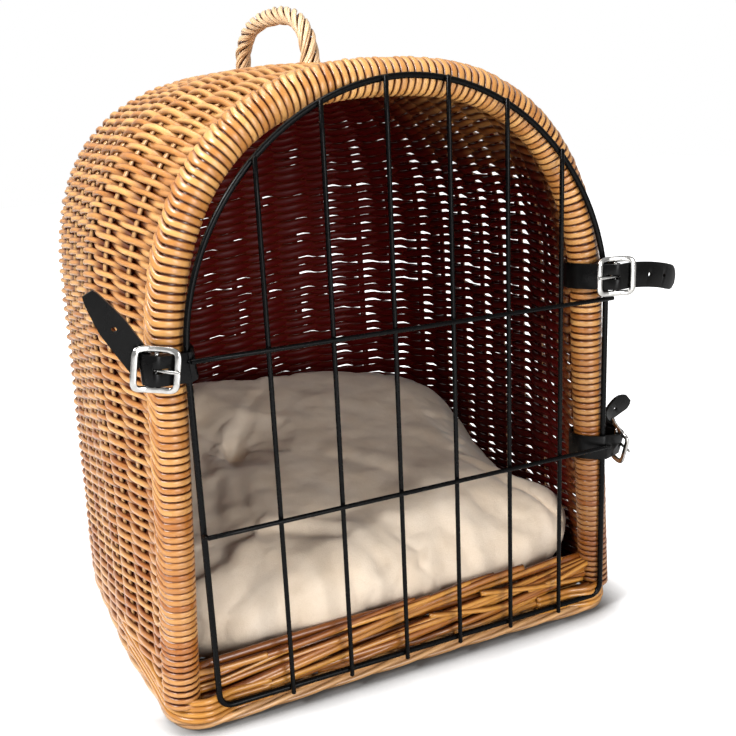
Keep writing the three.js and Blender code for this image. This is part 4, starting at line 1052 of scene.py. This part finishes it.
# Cushion: an unbleached cotton slip over a soft filling. It is stuffed unevenly, tied down at
# one tuft, and its slip creases where it turns over the front edge and into the corners.
calico, tree, surface = principled("unbleached_cotton")
threads = noise_at(tree, 1300.0)
crumple = noise_at(tree, 26.0, 6.0, 0.55)
rumpled = ranged(tree, crumple, 0.3, 0.75)
tone = mixed(tree, "MIX", rumpled, (0.77, 0.655, 0.53, 1), (0.67, 0.535, 0.395, 1))
woven = ranged(tree, threads, 0.45, 0.8, 0.0, 0.35)
feed(surface, {
    "Base Color": mixed(tree, "MULTIPLY", woven, tone, (0.8, 0.74, 0.66, 1)),
    "Roughness": 0.85,
    "Sheen Weight": 0.25,
    "Normal": bumped(tree, reckoned(tree, "MULTIPLY_ADD", threads, 0.12, crumple), 0.55, 0.004),
})
slip_grid, rest_height, tuft_radius, tuft_deep, furthest = 4, 14, 9, 12, 7
crease_sharp, lean_over, lean_under, ripple_size, ripple_height = 0.62, 0.2, 0.06, 42, 1.7
tuft = Vector((-74, 4, 128))

# Creases: how deep, how wide, and the places that each runs through
slip_creases = (
    (8, 6, ((-72, 6, 130), (-52, 40, 142), (-25, 71, 151))),
    (7, 6, ((-72, 6, 130), (-95, 35, 146), (-130, 48, 152))),
    (6, 8, ((-76, 0, 128), (-85, -40, 121), (-93, -84, 116), (-96, -135, 101))),
    (11, 6, ((-140, -118, 108), (-105, -130, 104), (-64, -137, 99), (-33, -153, 94), (-13, -176, 75))),
    (5, 7, ((-107, -47, 124), (-125, -100, 110), (-131, -146, 97))),
    (6, 7, ((-33, -153, 94), (-42, -178, 78), (-38, -186, 52))),
    (8, 6, ((118, -92, 106), (137, -121, 98), (152, -145, 84), (158, -168, 66))),
    (5, 8, ((96, -40, 118), (112, -78, 110), (128, -112, 100))),
    (5, 7, ((48, -148, 94), (60, -168, 82), (66, -183, 60))),
    (6, 5, ((172, -118, 74), (176, -150, 62), (170, -176, 44))),
    (5, 5, ((146, -166, 84), (156, -180, 66), (158, -186, 45))),
    (4, 8, ((-140, -172, 66), (-150, -182, 40), (-148, -184, 26))),
    (4, 9, ((10, -60, 122), (40, -90, 114), (52, -130, 102))),
    (5, 8, ((-150, -20, 132), (-162, -70, 112), (-168, -120, 90))),
)

# Swellings: how high, how wide, and the middle of each
swellings = (
    (24, 34, (176, -152, 78)), (12, 50, (150, 60, 112)), (6, 40, (-60, -176, 60)), (5, 45, (60, -120, 104)),
)


def near_line(place, line):
    """Distance from a place to a line through points, and the side it lies on."""
    best, side = 1e9, 0.0
    for start, end in zip(line, line[1:]):
        start, end = Vector(start), Vector(end)
        run = end - start
        share = min(1, max(0, (place - start).dot(run) / run.length_squared))
        away = place - start - run * share
        if away.length < best:
            best, side = away.length, run.cross(away).z
    return best, side


def hump(away, width):
    return math.exp(-((away / width) ** 2))


def filled(piece):
    """Blows the slip up by its filling, held down where it rests and at its tuft."""
    before = [v.co.copy() for v in piece.data.vertices]
    held = piece.vertex_groups.new(name="held")
    for v in piece.data.vertices:
        if (v.co / MM - tuft).length < tuft_radius or v.co.z < rest_height * MM:
            held.add([v.index], 1.0, "REPLACE")
    cloth = piece.modifiers.new("cloth", "CLOTH")
    settings = cloth.settings
    settings.use_pressure = True
    settings.uniform_pressure_force = 4
    settings.shrink_min = -0.035
    settings.bending_stiffness = 0.4
    settings.tension_stiffness = settings.compression_stiffness = 12
    settings.effector_weights.gravity = 0
    settings.vertex_group_mass = "held"
    for number in range(1, 21):
        scene.frame_set(number)
    bpy.context.view_layer.update()
    bpy.ops.object.modifier_apply(modifier=cloth.name)
    scene.frame_set(1)
    for v, old in zip(piece.data.vertices, before):
        move = v.co - old
        v.co = old + move * min(1, furthest * MM / max(move.length, 1e-9))
    piece.data.update()


def pushed(place):
    """How far the slip stands out or in at a place, from its creases, tuft, swellings and ripples."""
    push = 0.0
    for depth, width, line in slip_creases:
        away, side = near_line(place, line)
        if away < 4 * width:
            push -= depth * math.exp(-away / (crease_sharp * width))
            push += (lean_over if side > 0 else lean_under) * depth * hump(away - 1.9 * width, width)
    push -= tuft_deep * hump((place - tuft).length, tuft_radius)
    for high, width, middle in swellings:
        push += high * hump((place - Vector(middle)).length, width)
    return push + noise.fractal(place / ripple_size, 0.7, 2.0, 3) * ripple_height


cushion = finished("cotton_cushion", merged("cushion"))
modified(cushion, "REMESH", mode="VOXEL", voxel_size=slip_grid * MM)
modified(cushion, "SMOOTH", factor=0.5, iterations=8)
filled(cushion)
shifts = []
for v in cushion.data.vertices:
    lift = min(1, max(0, (v.co.z / MM - 12) / 18))
    shifts.append(v.normal * pushed(v.co / MM) * lift * MM)
for v, shift in zip(cushion.data.vertices, shifts):
    v.co += shift
modified(cushion, "SUBSURF", levels=1, render_levels=1)
cushion.data.shade_smooth()
cushion.data.materials.append(calico)
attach(cushion, "carrier")
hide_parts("cushion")

low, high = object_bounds()
